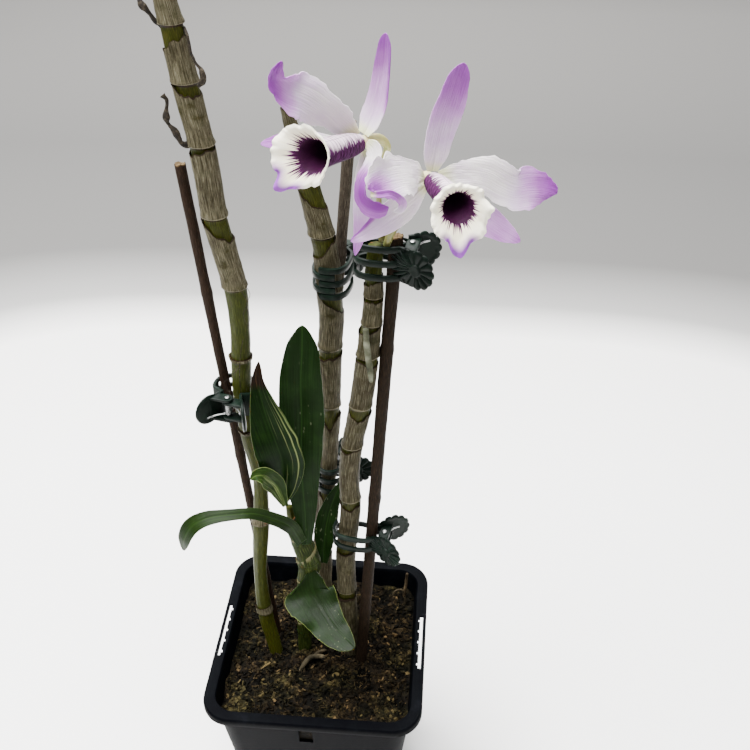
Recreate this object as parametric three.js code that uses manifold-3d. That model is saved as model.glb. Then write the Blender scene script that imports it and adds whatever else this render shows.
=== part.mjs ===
// Dendrobium orchid of the nobile kind in a square nursery pot: three jointed canes, one of them
// with two flowers, a young leafy shoot, three support sticks and five spring clips.
// Millimetres, +Z up. The origin is the middle of the pot's underside, and -Y is the front.

import * as THREE from 'three';
import { mergeVertices } from 'three/addons/utils/BufferGeometryUtils.js';
import Module from 'manifold-3d';

const wasm = await Module();
wasm.setup();

// ---------------------------------------------------------------- driving dimensions

const GAP = 0.35; // air between pieces that touch each other

const POT_HEIGHT = 115;
const RIM_HALF = 55; // half the width across the rim
const OPENING_HALF = 49;
const FOOT_HALF = 38; // half the width at the floor
const RIM_CORNER = 15; // corner radius at the rim
const LIP_DROP = 4.5; // height of the turned-down lip
const POT_WALL = 1.2;
const POT_FLOOR = 1.8;

const SOIL_TOP = 103; // mean height of the bark mix
const SOIL_BUMP = 1.6; // its unevenness

const BLADE = 0.7; // thickness of leaves and petals

// Canes from the bottom up: x, y, z, radius. The rings of the joints stand at the z of "joints".
const LEFT_CANE = {
  rows: [
    [-24.5, -3, 86, 3.2], [-25.3, -2, 103, 3.8], [-29.3, 0, 128, 4.1], [-30.4, 2, 160, 3.5],
    [-28.1, 3, 190, 4.4], [-26.6, 4, 221, 3.4], [-29.6, 4, 249, 4.0], [-30.6, 4, 272, 4.3],
    [-29.8, 4, 288, 4.6], [-28.8, 4, 306, 4.3], [-28.9, 4, 325, 4.9], [-31.1, 3, 342, 4.8],
    [-33.5, 2, 358, 4.9], [-34.8, 0, 387, 4.7], [-38.2, 0, 411, 4.7], [-40.7, 0, 432, 4.3],
    [-43.3, 0, 449, 3.2],
  ],
  joints: [128, 190, 249, 288, 325, 358, 387, 411, 432],
};
const MIDDLE_CANE = {
  rows: [
    [-1.5, 13, 86, 3.4], [-1, 14, 103, 3.6], [0, 16, 140, 3.8], [1.8, 18, 183, 3.6],
    [3.9, 19.5, 212, 3.5], [5, 20, 225, 3.5], [6.1, 21, 252, 4.2], [6.2, 21.5, 268, 4.8],
    [6.4, 22, 284, 5.2], [7.6, 22, 303, 5.3], [7.2, 22, 317, 5.4], [6.2, 22, 332, 5.1],
    [4.7, 22, 342, 5.2], [0, 22, 366, 4.6], [-2.4, 21, 379, 3.7], [-6.2, 20, 394, 2.2],
    [-7.6, 20, 400, 1.4],
  ],
  joints: [125, 165, 205, 252, 284, 317, 342, 368],
};
const RIGHT_CANE = {
  rows: [
    [14.5, 2, 86, 3.7], [15, 2, 103, 4.2], [13.8, 2, 145, 4.6], [13.6, 2, 176, 4.6],
    [15.1, 1.5, 192, 4.6], [16.6, 1.5, 211, 4.6], [16.2, 1.5, 230, 4.5], [17.6, 1.5, 246, 4.6],
    [21.2, 1.5, 267, 4.8], [24.4, 1, 292, 4.8], [26.2, 1, 310, 4.3], [27.5, 1, 324, 3.7],
    [27.6, 1.5, 339, 3.7], [28.6, 1.5, 350, 3.4],
  ],
  joints: [145, 180, 211, 244, 267, 294, 312, 328],
};

// Support sticks: foot in the mix and top end, with the stick's radius.
const LEFT_STICK = { foot: [-22.3, 10.5, 45], top: [-46.6, 8.5, 377.5], radius: 2.3 };
const MIDDLE_STICK = { foot: [-13.6, 21, 45], top: [15.9, 34, 386], radius: 2.6 };
const RIGHT_STICK = { foot: [17.6, -4.9, 45], top: [36.4, 2.1, 354], radius: 2.9 };

// Clips: the middle of the ring, the way from there to the hinge (degrees about Z), the inner half
// length and half width of the ring, its height, and the outline of its finger grips.
const CLIPS = [
  { name: 'clip_top_right', at: [30.0, 2.3, 344.6], turn: -6, ring: [9.2, 5.4], height: 15, grip: 'daisy' },
  { name: 'clip_top_middle', at: [8.3, 25.9, 323], turn: 83, ring: [9.9, 7.0], height: 15, grip: 'daisy' },
  { name: 'clip_low_middle', at: [3.1, 23.1, 212.5], turn: 38, ring: [6.2, 8.8], height: 15, grip: 'daisy' },
  { name: 'clip_low_right', at: [19.4, -0.1, 193], turn: -8, ring: [10.2, 6.4], height: 9, grip: 'daisy' },
  { name: 'clip_left', at: [-33.2, 5.7, 270], turn: 258, ring: [6.6, 9.3], height: 12, grip: 'plain' },
];
const CLIP_WALL = 1.2;
const RING_POWER = 2.6; // squareness of the ring: 2 is an ellipse
const FINGER_GAP = 0.6; // air between fingers that pass each other
const FINGER_REACH = 20; // degrees that fingers reach past the ring's end
const HINGE_REACH = 3.6; // from the ring's inner end to the hinge pin
const PIN_RADIUS = 0.8;
const LUG = 1.1; // thickness of a hinge lug
const LUG_RADIUS = 2.4;
const GRIP_RADIUS = 8.4; // of a scalloped grip
const PLAIN_GRIP_RADIUS = 7.2;
const GRIP_THICK = 1.5;
const GRIP_SPREAD = 28; // degrees between a grip and the ring's long axis
const GRIP_ASIDE = 7.9; // from the pin to the middle of a grip, sideways
const GRIP_AHEAD = 2.6; // and ahead

// ---------------------------------------------------------------- shared geometry helpers

const vec = (p) => new THREE.Vector3(p[0], p[1], p[2]);
const rad = THREE.MathUtils.degToRad;

function geometryFrom(points, faces) {
  const geometry = new THREE.BufferGeometry();
  const flat = points.flatMap((p) => [p.x, p.y, p.z]);
  geometry.setAttribute('position', new THREE.Float32BufferAttribute(flat, 3));
  geometry.setIndex(faces.flat());
  return geometry;
}

// Joins rings of equal point count, given from the bottom or root up, and closes both ends.
function loft(rings) {
  const count = rings[0].length;
  const points = rings.flat();
  const faces = [];
  for (let k = 0; k + 1 < rings.length; k++) {
    for (let i = 0; i < count; i++) {
      const a = k * count + i;
      const b = k * count + ((i + 1) % count);
      faces.push([a, b, b + count], [a, b + count, a + count]);
    }
  }
  for (const [k, turned] of [[0, true], [rings.length - 1, false]]) {
    const middle = new THREE.Vector3();
    rings[k].forEach((p) => middle.addScaledVector(p, 1 / count));
    points.push(middle);
    for (let i = 0; i < count; i++) {
      const a = k * count + i;
      const b = k * count + ((i + 1) % count);
      faces.push(turned ? [b, a, points.length - 1] : [a, b, points.length - 1]);
    }
  }
  return geometryFrom(points, faces);
}

const ringOf = (sides, place) => Array.from({ length: sides }, (_, i) => place((i / sides) * 2 * Math.PI));

function smoothPath(points) {
  return new THREE.CatmullRomCurve3(points.map(vec), false, 'centripetal');
}

// Value of a list at a share t of its length.
function along(list, t) {
  const s = t * (list.length - 1);
  const i = Math.min(Math.floor(s), list.length - 2);
  return list[i] + (list[i + 1] - list[i]) * (s - i);
}

// A round rod along a smooth path, thick as "radii" say from end to end.
function rod(points, radii, sides = 8, steps = 12) {
  const path = smoothPath(points);
  const frames = path.computeFrenetFrames(steps, false);
  const rings = [];
  for (let k = 0; k <= steps; k++) {
    const middle = path.getPointAt(k / steps);
    const radius = along(radii, k / steps);
    rings.push(ringOf(sides, (a) => middle.clone()
      .addScaledVector(frames.normals[k], Math.cos(a) * radius)
      .addScaledVector(frames.binormals[k], Math.sin(a) * radius)));
  }
  return loft(rings);
}

// A jointed cane standing upright. Its level rings lie closer at the joints, where it swells.
function caneGeometry({ rows, joints }, grow = 0, ceiling = Infinity) {
  const path = smoothPath(rows);
  const bottom = rows[0][2];
  const top = rows.at(-1)[2];
  const levels = [bottom, top, ...joints.flatMap((z) => [z - 2.2, z, z + 1.4])];
  joints.forEach((z, i) => levels.push((z + (joints[i + 1] ?? top)) / 2));
  levels.push((bottom + joints[0]) / 2);
  const kept = levels.filter((z) => z <= ceiling).sort((a, b) => a - b);
  const rings = kept.map((z, k) => {
    let i = 0;
    while (i < rows.length - 2 && rows[i + 1][2] < z) i++;
    const share = (z - rows[i][2]) / (rows[i + 1][2] - rows[i][2]);
    const middle = path.getPoint((i + share) / (rows.length - 1));
    const swell = Math.max(...joints.map((j) => Math.exp(-(((z - j) / 1.5) ** 2))));
    const radius = (rows[i][3] + (rows[i + 1][3] - rows[i][3]) * share) * (1 + 0.07 * swell) + grow;
    const height = grow && k === 0 ? z - grow : z;
    return ringOf(10, (a) => vec([middle.x + Math.cos(a) * radius, middle.y + Math.sin(a) * radius, height]));
  });
  return loft(rings);
}

// A leaf or petal: a thin sheet round a spine. "half" is its half width and "face" the way its
// upper side looks, both from root to tip. Both sides are split into triangles alike.
function blade({ spine, half, face, bend = 0, fold = 0, wave = 0, waves = 3, rows = 9, cols = 4 }) {
  const path = smoothPath(spine);
  const looks = Array.isArray(face[0]) ? face : [face, face];
  const sheet = [];
  for (let r = 0; r <= rows; r++) {
    const t = r / rows;
    const middle = path.getPoint(t);
    const ahead = path.getTangent(t);
    const up = vec([0, 1, 2].map((k) => along(looks.map((f) => f[k]), t)));
    up.addScaledVector(ahead, -up.dot(ahead)).normalize();
    const side = ahead.clone().cross(up);
    const width = along(half, t);
    for (let c = 0; c <= cols; c++) {
      const u = (2 * c) / cols - 1;
      const arc = u * rad(bend);
      const out = bend ? (Math.sin(arc) / rad(bend)) * width : u * width * Math.cos(rad(fold));
      let lift = bend ? ((1 - Math.cos(arc)) / rad(bend)) * width : Math.abs(u) * width * Math.sin(rad(fold));
      lift += wave * u * u * Math.sin(t * waves * 2 * Math.PI + (u > 0 ? 0 : 1.9)) * Math.sin(Math.PI * t);
      sheet.push(middle.clone().addScaledVector(side, out).addScaledVector(up, lift));
    }
  }
  const at = (r, c) => sheet[r * (cols + 1) + c];
  const points = [];
  for (const turn of [0.5, -0.5]) {
    for (let r = 0; r <= rows; r++) {
      for (let c = 0; c <= cols; c++) {
        const lengthwise = at(Math.min(r + 1, rows), c).clone().sub(at(Math.max(r - 1, 0), c));
        const across = at(r, Math.min(c + 1, cols)).clone().sub(at(r, Math.max(c - 1, 0)));
        const normal = across.cross(lengthwise).normalize();
        points.push(at(r, c).clone().addScaledVector(normal, turn * BLADE));
      }
    }
  }
  const size = (rows + 1) * (cols + 1);
  const faces = [];
  const wall = (a, b) => faces.push([a, a + size, b + size], [a, b + size, b]);
  for (let r = 0; r < rows; r++) {
    for (let c = 0; c < cols; c++) {
      const a = r * (cols + 1) + c;
      const b = a + 1;
      const d = a + cols + 1;
      const e = d + 1;
      faces.push([a, b, e], [a, e, d], [a + size, e + size, b + size], [a + size, d + size, e + size]);
      if (r === 0) wall(a, b);
      if (r === rows - 1) wall(e, d);
      if (c === 0) wall(d, a);
      if (c === cols - 1) wall(b, e);
    }
  }
  return geometryFrom(points, faces);
}

function solid(geometry) {
  const bare = geometry.clone();
  bare.deleteAttribute('normal');
  bare.deleteAttribute('uv');
  const merged = mergeVertices(bare, 1e-4);
  return new wasm.Manifold(new wasm.Mesh({
    numProp: 3,
    vertProperties: new Float32Array(merged.attributes.position.array),
    triVerts: new Uint32Array(merged.index.array),
  }));
}

function geometryOf(body) {
  const { vertProperties, triVerts } = body.getMesh();
  const geometry = new THREE.BufferGeometry();
  geometry.setAttribute('position', new THREE.Float32BufferAttribute(vertProperties, 3));
  geometry.setIndex(Array.from(triVerts));
  return geometry;
}

// A flat outline raised by "height" from z = 0.
function slab(outline, height) {
  const shape = new THREE.Shape(outline.map(([x, y]) => new THREE.Vector2(x, y)));
  return new THREE.ExtrudeGeometry(shape, { depth: height, bevelEnabled: false, curveSegments: 6 });
}

function placed(geometry, x, y, z) {
  return geometry.clone().translate(x, y, z);
}

function material(colour, roughness) {
  return new THREE.MeshStandardMaterial({ color: colour, roughness, metalness: 0 });
}

const plant = new THREE.Group();

function addPiece(name, geometry, finish, parent = plant) {
  const mesh = new THREE.Mesh(geometry, finish);
  mesh.name = name;
  parent.add(mesh);
  return mesh;
}

const FINISH = {
  pot: material('#24252a', 0.5),
  mix: material('#3a2f22', 0.95),
  sheath: material('#a7a294', 0.85),
  greenCane: material('#6f7434', 0.6),
  stick: material('#4a3732', 0.8),
  leaf: material('#2f5a26', 0.45),
  root: material('#c9c6b4', 0.8),
  petal: material('#e9d9ec', 0.6),
  lip: material('#f3efe0', 0.6),
  pedicel: material('#8c8f45', 0.6),
  clip: material('#2c3a33', 0.45),
  pin: material('#b9bcbc', 0.35),
};

// ---------------------------------------------------------------- pot

// A level square ring with round corners.
function squareRing(half, corner, z) {
  const ring = [];
  for (let quarter = 0; quarter < 4; quarter++) {
    const x = [1, -1, -1, 1][quarter] * (half - corner);
    const y = [1, 1, -1, -1][quarter] * (half - corner);
    for (let k = 0; k <= 5; k++) {
      const a = (quarter + k / 5) * (Math.PI / 2);
      ring.push(vec([x + Math.cos(a) * corner, y + Math.sin(a) * corner, z]));
    }
  }
  return ring;
}

const bodyHalfAt = (z) => FOOT_HALF + ((OPENING_HALF + POT_WALL - FOOT_HALF) * z) / POT_HEIGHT;
const bodyCornerAt = (z) => 9 + (2 * z) / POT_HEIGHT;

function potGeometry() {
  const LIP_FOOT = POT_HEIGHT - LIP_DROP;
  const RIM_TOP = 1.4; // thickness of the flat rim
  const body = solid(loft([0, 60, POT_HEIGHT].map((z) => squareRing(bodyHalfAt(z), bodyCornerAt(z), z))));
  const inside = solid(loft([POT_FLOOR, 60, POT_HEIGHT + 1].map((z) => (
    squareRing(bodyHalfAt(z) - POT_WALL, bodyCornerAt(z) - 1, z)))));
  const rim = solid(loft([
    squareRing(RIM_HALF, RIM_CORNER, LIP_FOOT),
    squareRing(RIM_HALF, RIM_CORNER, POT_HEIGHT - 0.6),
    squareRing(RIM_HALF - 0.6, RIM_CORNER - 0.5, POT_HEIGHT),
  ]));
  const underRim = solid(loft([LIP_FOOT - 1, POT_HEIGHT - RIM_TOP].map((z) => (
    squareRing(RIM_HALF - POT_WALL, RIM_CORNER - 1, z)))));
  let pot = rim.subtract(underRim).add(body).subtract(inside);
  // A label slot through the flat rim on the left and right, and one in the front wall.
  for (const side of [-1, 1]) {
    pot = pot.subtract(solid(placed(new THREE.BoxGeometry(2, 34, 4), side * 52.4, 0, POT_HEIGHT)));
  }
  pot = pot.subtract(solid(placed(new THREE.BoxGeometry(5.5, 6, 5), -3, -49.5, 105)));
  // Drain holes in the floor.
  const drain = new THREE.CylinderGeometry(3.5, 3.5, 6, 10).rotateX(Math.PI / 2);
  for (let k = 0; k < 8; k++) {
    const a = (k / 8) * 2 * Math.PI;
    const reach = k % 2 ? 33 : 24;
    pot = pot.subtract(solid(placed(drain, Math.cos(a) * reach, Math.sin(a) * reach, 0)));
  }
  return geometryOf(pot);
}

addPiece('pot', potGeometry(), FINISH.pot);

// ---------------------------------------------------------------- canes, sticks and young shoot

function stickGeometry({ foot, top, radius }, grow = 0, ceiling = Infinity) {
  const [from, to] = [vec(foot), vec(top)];
  const share = Math.min(1, (ceiling - from.z) / (to.z - from.z));
  const end = from.clone().lerp(to, share);
  return loft([from, end].map((p, k) => ringOf(8, (a) => vec([
    p.x + Math.cos(a) * (radius + grow),
    p.y + Math.sin(a) * (radius + grow),
    grow && k === 0 ? p.z - grow : p.z,
  ]))));
}

// Dry flower stubs that stay on the oldest cane, each from inside the cane outwards.
const DRY_STUBS = [
  [[-41, 0, 431], [-45.5, -2, 433.5], [-48.5, -3, 437.5], [-50.5, -3, 441]],
  [[-37.5, -1, 411], [-41, -4.6, 407], [-41.5, -5.4, 403], [-44.6, -5, 405.5], [-45.6, -5, 411]],
  [[-38, 0, 425], [-34.8, -3.4, 428], [-33.4, -4.4, 420], [-32.6, -4.6, 412]],
];

function leftCaneGeometry() {
  let cane = solid(caneGeometry(LEFT_CANE));
  for (const stub of DRY_STUBS) {
    cane = cane.add(solid(rod(stub, [1.3, 0.9, 1.2, 0.8], 6, 7)));
  }
  return geometryOf(cane);
}

addPiece('cane_left', leftCaneGeometry(), FINISH.sheath);
addPiece('cane_middle', caneGeometry(MIDDLE_CANE), FINISH.sheath);
addPiece('cane_right', caneGeometry(RIGHT_CANE), FINISH.sheath);
addPiece('stick_left', stickGeometry(LEFT_STICK), FINISH.stick);
addPiece('stick_middle', stickGeometry(MIDDLE_STICK), FINISH.stick);
addPiece('stick_right', stickGeometry(RIGHT_STICK), FINISH.stick);

const SHOOT = {
  rows: [
    [-10.4, 1.5, 88, 3.0], [-9.9, 1, 103, 3.4], [-7.6, -1.5, 140, 3.8], [-5.2, -3.5, 162, 4.9],
    [-3.6, -5, 176, 5.0], [-6.4, -6, 192, 4.6], [-9.6, -6.6, 206, 3.2], [-11.4, -7, 216, 1.8],
  ],
  joints: [118, 150, 178, 198],
};
addPiece('shoot_stem', caneGeometry(SHOOT), FINISH.greenCane);

// ---------------------------------------------------------------- leaves of the young shoot

const LEAVES = {
  leaf_tall: {
    spine: [
      [-3.2, -11.4, 196], [-3.2, -10.6, 213], [-4, -8.6, 233], [-4, -7.6, 248], [-3, -7, 267], [-2.5, -6, 289],
      [-1.5, -5, 303], [-1, -4, 315],
    ],
    half: [2.2, 4.6, 7.4, 8.8, 9.3, 7.6, 5.4, 0.9],
    face: [0.1, -1, 0.25],
    fold: 10,
    wave: 0.5,
    rows: 9,
  },
  leaf_folded: {
    spine: [
      [-13.2, -10.2, 221], [-11.4, -14.8, 237], [-10.6, -17.2, 252], [-12, -19, 263], [-14.5, -19, 274],
      [-17, -19, 287.5], [-18, -18.5, 297], [-17, -18, 306],
    ],
    half: [1.6, 7, 10.2, 10.6, 9.4, 5.6, 2.8, 0.9],
    face: [0.25, -1, 0.2],
    fold: 26,
    rows: 9,
  },
  leaf_curled: {
    spine: [
      [-11.9, -11.8, 221], [-12.3, -17.4, 232.4], [-13.1, -22, 242.7], [-15.1, -25.6, 249.4], [-17.5, -27.6, 253.4],
      [-20, -28.6, 254], [-22.5, -29, 252],
    ],
    half: [1.4, 2.8, 4.2, 4.7, 4, 2.5, 0.6],
    face: [0.1, -0.7, 0.7],
    bend: 40,
    rows: 7,
  },
  leaf_strap: {
    spine: [
      [-5.2, -13.4, 199], [-9.1, -17.4, 213.2], [-15.8, -20.6, 220.8], [-23.9, -23.4, 226.1], [-33.2, -26, 227.3],
      [-43.7, -28, 226.3], [-50.5, -29.4, 222.8], [-55, -30, 215.1], [-57, -30, 207.7],
    ],
    half: [2.6, 3.2, 3, 2.6, 2.7, 3.4, 4.2, 3.6, 1],
    face: [[0.1, -0.6, 0.8], [0, -0.7, 0.7], [-0.1, -0.5, 0.9], [-0.4, -0.6, 0.6], [-0.7, -0.7, 0.3]],
    bend: 14,
    rows: 10,
  },
  leaf_front: {
    spine: [
      [-4.6, -10.7, 172.6], [-3.5, -14.2, 165.6], [0.6, -18.6, 161.9], [5, -23.6, 159.2], [9.6, -28.6, 156.8],
      [15.1, -33.4, 155.6], [21.4, -38, 155.1],
    ],
    half: [8, 12.5, 11.9, 9.6, 8.1, 5.9, 1.2],
    face: [0.05, -0.55, 0.85],
    fold: 8,
    wave: 0.8,
    rows: 9,
  },
  leaf_rear: {
    spine: [[2.4, 2.2, 169], [2.6, 4.6, 179], [3.4, 6.6, 188], [5.5, 9, 199], [9, 10.5, 210], [12, 11.5, 217]],
    half: [2, 4.2, 5.8, 4.8, 2.6, 0.8],
    face: [-0.1, -0.9, 0.4],
    fold: 12,
    rows: 8,
  },
};

for (const [name, form] of Object.entries(LEAVES)) {
  addPiece(name, blade(form), FINISH.leaf);
}

// ---------------------------------------------------------------- flowers

// Places are from the flower's hub, where its five tepals, its lip and its column meet.
const LEFT_FLOWER = {
  name: 'flower_left',
  hub: [24.6, -15.6, 398.4],
  forward: [-0.7, -0.7, 0.1],
  stalk: [
    [6.4, 17.4, -46.6], [5.2, 16.4, -33], [5.6, 12.6, -20], [7.2, 9.4, -10], [8.6, 6, -3.4], [6, 3.2, 0.4],
    [2, 1.6, 0.2], [0, 0, 0],
  ],
  stalkRadii: [1.5, 1.1, 1.1, 1.2, 1.4, 1.7, 2.2, 2.2],
  tepals: {
    sepal_upper: {
      spine: [[1.2, 1.2, 2.7], [3.4, 2.2, 7], [5.4, 3, 12.4], [7, 3, 20.2], [7.7, 2.4, 26.1], [8.2, 1.6, 31.5], [8.4, 1, 36.7]],
      half: [2.4, 4.6, 4.8, 4.2, 3.7, 3, 0.7],
      face: [-0.6, -0.75, 0.2],
      bend: 24,
    },
    petal_rear: {
      spine: [
        [-1.8, 1.6, 2.2], [-6.2, -1.2, 7.4], [-11.2, -5, 13.2], [-16.6, -7.5, 18], [-22.2, -9.5, 21.1], [-25.2, -11.5, 24.7],
        [-24.9, -13, 28.4], [-23.1, -13.5, 31.7],
      ],
      half: [1.6, 4.8, 6, 7.2, 6.1, 3.4, 2, 0.7],
      face: [[-0.35, -0.85, 0.4], [-0.2, -0.9, 0.4], [0.1, -0.9, 0.3], [0.3, -0.8, 0]],
      wave: 1,
      waves: 2,
      bend: 14,
    },
    petal_front: {
      spine: [
        [2.4, -1.4, 0.8], [4.6, -3, -0.4], [5.3, -5.4, -2.7], [4.1, -8.4, -4.9], [2, -11.4, -7.3], [1.1, -13.6, -10.5],
        [1.9, -14.6, -13.9], [4.6, -15, -16.7], [8.1, -15, -17.4], [10.8, -14.6, -16.5],
      ],
      half: [1.3, 3, 3.2, 2.5, 2.3, 2.1, 2.5, 3, 2.5, 0.7],
      face: [[-0.5, -0.7, 0.5], [-0.4, -0.85, 0.4], [-0.3, -0.9, 0.3], [-0.1, -0.9, 0.4]],
      bend: 26,
    },
    sepal_rear: {
      spine: [[-1.2, 2.6, -1.6], [-8.5, 2.4, -2.6], [-18.5, 0, -1], [-25.5, -2, 0.6], [-31, -4, 1.6]],
      half: [1.2, 3.5, 4.5, 3.4, 0.9],
      face: [-0.5, -0.6, 0.5],
      bend: 16,
    },
    sepal_front: {
      spine: [[1.6, 0.6, -2.7], [1.2, -1.8, -9.6], [1.1, -4.4, -18.6], [0.5, -6.6, -28.6], [-1.6, -8.4, -39]],
      half: [1.3, 3.4, 4.3, 3.4, 0.8],
      face: [-0.6, -0.75, 0.2],
      bend: 16,
    },
  },
  lip: { mouth: [-13.6, -15.4, 1.6], look: [-0.19, -0.93, 0.3], tip: [-0.6, -0.48, -0.64], shift: [-4.7, -0.4, -0.3] },
};
const RIGHT_FLOWER = {
  name: 'flower_right',
  hub: [49, -14, 385],
  forward: [0.49, -0.87, -0.05],
  stalk: [[-16.2, 12.8, -33.2], [-14, 10.4, -26], [-9.6, 7, -18], [-4.8, 5.6, -7], [-2, 3.4, -0.7], [0, 0, 0]],
  stalkRadii: [1.5, 1.5, 1.7, 1.8, 2.2, 2.2],
  tepals: {
    sepal_upper: {
      spine: [[0.2, 1.2, 2.8], [1, 1.6, 8], [2, 2, 14.2], [3.6, 2.6, 20.9], [5.6, 3.2, 27.3], [7.4, 3.8, 34.2], [9.4, 4, 39.8]],
      half: [2, 4.6, 5.5, 6.2, 6, 4.2, 0.8],
      face: [0.4, -0.9, 0.2],
      bend: 18,
    },
    petal_rear: {
      spine: [
        [2.5, 1.2, 1], [8.2, 1.4, 1.8], [14.3, 1.8, 2.1], [19.8, 2.6, 0.6], [25.2, 3.8, -2.8], [30.1, 5, -5.1],
        [35.4, 6, -4.6], [40.1, 6.8, -5], [43.4, 7, -5.9], [44.9, 7, -6.8],
      ],
      half: [1.5, 3.6, 5.6, 7.1, 6.7, 7.3, 7.9, 5.2, 2.4, 0.7],
      face: [0.3, -0.9, 0.3],
      wave: 1,
      waves: 2,
      bend: 10,
    },
    petal_front: {
      spine: [
        [-2.6, -1.2, 1], [-5.8, -4.4, 4], [-9.4, -8.6, 6.1], [-13.2, -13, 7.3], [-16.6, -16.6, 7.3], [-19.1, -19, 6.6],
        [-20.5, -20.4, 5.7],
      ],
      half: [1.5, 4.6, 7, 7, 6.1, 3.8, 0.8],
      face: [[-0.1, -0.8, 0.6], [-0.1, -0.8, 0.6], [0.1, -0.9, 0.4], [0.2, -0.9, 0.3]],
      wave: 0.8,
      waves: 2,
      bend: 16,
    },
    sepal_rear: {
      spine: [[1.9, 1.4, -1.6], [11.5, 2, -9.5], [20, 2, -15.5], [27.5, 1, -20], [33, 0, -23]],
      half: [1.3, 4.4, 5.5, 3.7, 0.9],
      face: [0.4, -0.9, 0.1],
      bend: 14,
    },
    sepal_front: {
      spine: [[-2, -0.8, -2.2], [-8, -4, -7.4], [-14.6, -8.4, -11.6], [-21.6, -13, -15], [-26.6, -17, -16.2]],
      half: [1.3, 3.8, 4.2, 2.5, 0.9],
      face: [-0.1, -0.9, 0.4],
      bend: 20,
    },
  },
  lip: { mouth: [9.6, -17.4, -1.6], look: [0.165, -0.94, 0.31], tip: [0.05, -0.59, -0.81], shift: [1, -1.2, -1.8] },
};

// The lip: a tube rolled round the column that opens into a ruffled plate with a pointed tip.
// Rings run from the hub to the plate's edge: share of the tube, radius, how far the plate's
// middle has moved from the mouth, and how far in front of the mouth the ring lies.
const LIP_RINGS = [
  [0, 2.1, 0, 0], [0.18, 3.5, 0, 0], [0.45, 4.2, 0, 0], [0.75, 4.6, 0, 0], [1, 5.4, 0.1, 0],
  [1, 7.2, 0.45, 0.7], [1, 9, 0.8, 1.1], [1, 10.2, 1, 0.4],
];
const LIP_SIDES = 22;

function lipGeometry({ forward, lip }) {
  const start = vec(forward).normalize().multiplyScalar(0.45);
  const mouth = vec(lip.mouth);
  const bow = start.clone().addScaledVector(vec(forward).normalize(), mouth.length() * 0.5);
  const path = new THREE.QuadraticBezierCurve3(start, bow, mouth);
  const look = vec(lip.look).normalize();
  const sheet = LIP_RINGS.map(([share, radius, moved, ahead]) => {
    const turn = share * share * (3 - 2 * share);
    const axis = vec(forward).normalize().lerp(look, turn).normalize();
    const toTip = vec(lip.tip).addScaledVector(axis, -vec(lip.tip).dot(axis)).normalize();
    const aside = axis.clone().cross(toTip);
    const middle = path.getPoint(share).addScaledVector(vec(lip.shift), moved).addScaledVector(axis, ahead);
    return ringOf(LIP_SIDES, (a) => {
      const flare = Math.max(0, (radius - 5.4) / 4.8);
      const point = flare * 3.6 * Math.exp(-((Math.atan2(Math.sin(a), Math.cos(a)) / 0.3) ** 2));
      const ruffle = flare * 0.7 * Math.sin(a * 7);
      return middle.clone()
        .addScaledVector(toTip, Math.cos(a) * (radius + point))
        .addScaledVector(aside, Math.sin(a) * (radius + point))
        .addScaledVector(axis, ruffle);
    });
  });
  const last = sheet.length - 1;
  const size = sheet.length * LIP_SIDES;
  const points = [];
  for (const turn of [0.5, -0.5]) {
    for (let r = 0; r <= last; r++) {
      for (let c = 0; c < LIP_SIDES; c++) {
        const lengthwise = sheet[Math.min(r + 1, last)][c].clone().sub(sheet[Math.max(r - 1, 0)][c]);
        const across = sheet[r][(c + 1) % LIP_SIDES].clone().sub(sheet[r][(c + LIP_SIDES - 1) % LIP_SIDES]);
        const normal = across.cross(lengthwise).normalize();
        points.push(sheet[r][c].clone().addScaledVector(normal, turn * BLADE));
      }
    }
  }
  const faces = [];
  for (let c = 0; c < LIP_SIDES; c++) {
    const next = (c + 1) % LIP_SIDES;
    for (let r = 0; r < last; r++) {
      const a = r * LIP_SIDES + c;
      const b = r * LIP_SIDES + next;
      const d = a + LIP_SIDES;
      const e = b + LIP_SIDES;
      faces.push([a, b, e], [a, e, d], [a + size, e + size, b + size], [a + size, d + size, e + size]);
    }
    const rim = last * LIP_SIDES;
    faces.push([c, c + size, next + size], [c, next + size, next]);
    faces.push([rim + next, rim + next + size, rim + c + size], [rim + next, rim + c + size, rim + c]);
  }
  return geometryFrom(points, faces);
}

for (const flower of [LEFT_FLOWER, RIGHT_FLOWER]) {
  const place = new THREE.Group();
  place.position.copy(vec(flower.hub));
  plant.add(place);
  addPiece(`${flower.name}_stalk`, rod(flower.stalk, flower.stalkRadii, 8, 12), FINISH.pedicel, place);
  for (const [part, form] of Object.entries(flower.tepals)) {
    addPiece(`${flower.name}_${part}`, blade(form), FINISH.petal, place);
  }
  addPiece(`${flower.name}_lip`, lipGeometry(flower), FINISH.lip, place);
  const out = vec(flower.forward).normalize();
  const column = [0.4, 3, 6, 8].map((reach) => out.clone().multiplyScalar(reach).toArray());
  addPiece(`${flower.name}_column`, rod(column, [1.2, 1.5, 1.6, 1.2], 8, 5), FINISH.lip, place);
}

// ---------------------------------------------------------------- spring clips

// A band of even width along a line drawn in plan.
function ribbon(line, width) {
  const left = [];
  const right = [];
  line.forEach((p, i) => {
    const before = line[Math.max(i - 1, 0)];
    const after = line[Math.min(i + 1, line.length - 1)];
    const run = Math.hypot(after[0] - before[0], after[1] - before[1]);
    const [nx, ny] = [-(after[1] - before[1]) / run, (after[0] - before[0]) / run];
    left.push([p[0] + (nx * width) / 2, p[1] + (ny * width) / 2]);
    right.unshift([p[0] - (nx * width) / 2, p[1] - (ny * width) / 2]);
  });
  return [...left, ...right];
}

// Points of the ring's middle line between two angles (degrees from the hinge side).
function ringArc([halfLength, halfWidth], from, to, steps) {
  return Array.from({ length: steps + 1 }, (_, i) => {
    const a = rad(from + ((to - from) * i) / steps);
    const power = 2 / RING_POWER;
    return [
      Math.sign(Math.cos(a)) * Math.abs(Math.cos(a)) ** power * (halfLength + CLIP_WALL / 2),
      Math.sign(Math.sin(a)) * Math.abs(Math.sin(a)) ** power * (halfWidth + CLIP_WALL / 2),
    ];
  });
}

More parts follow.
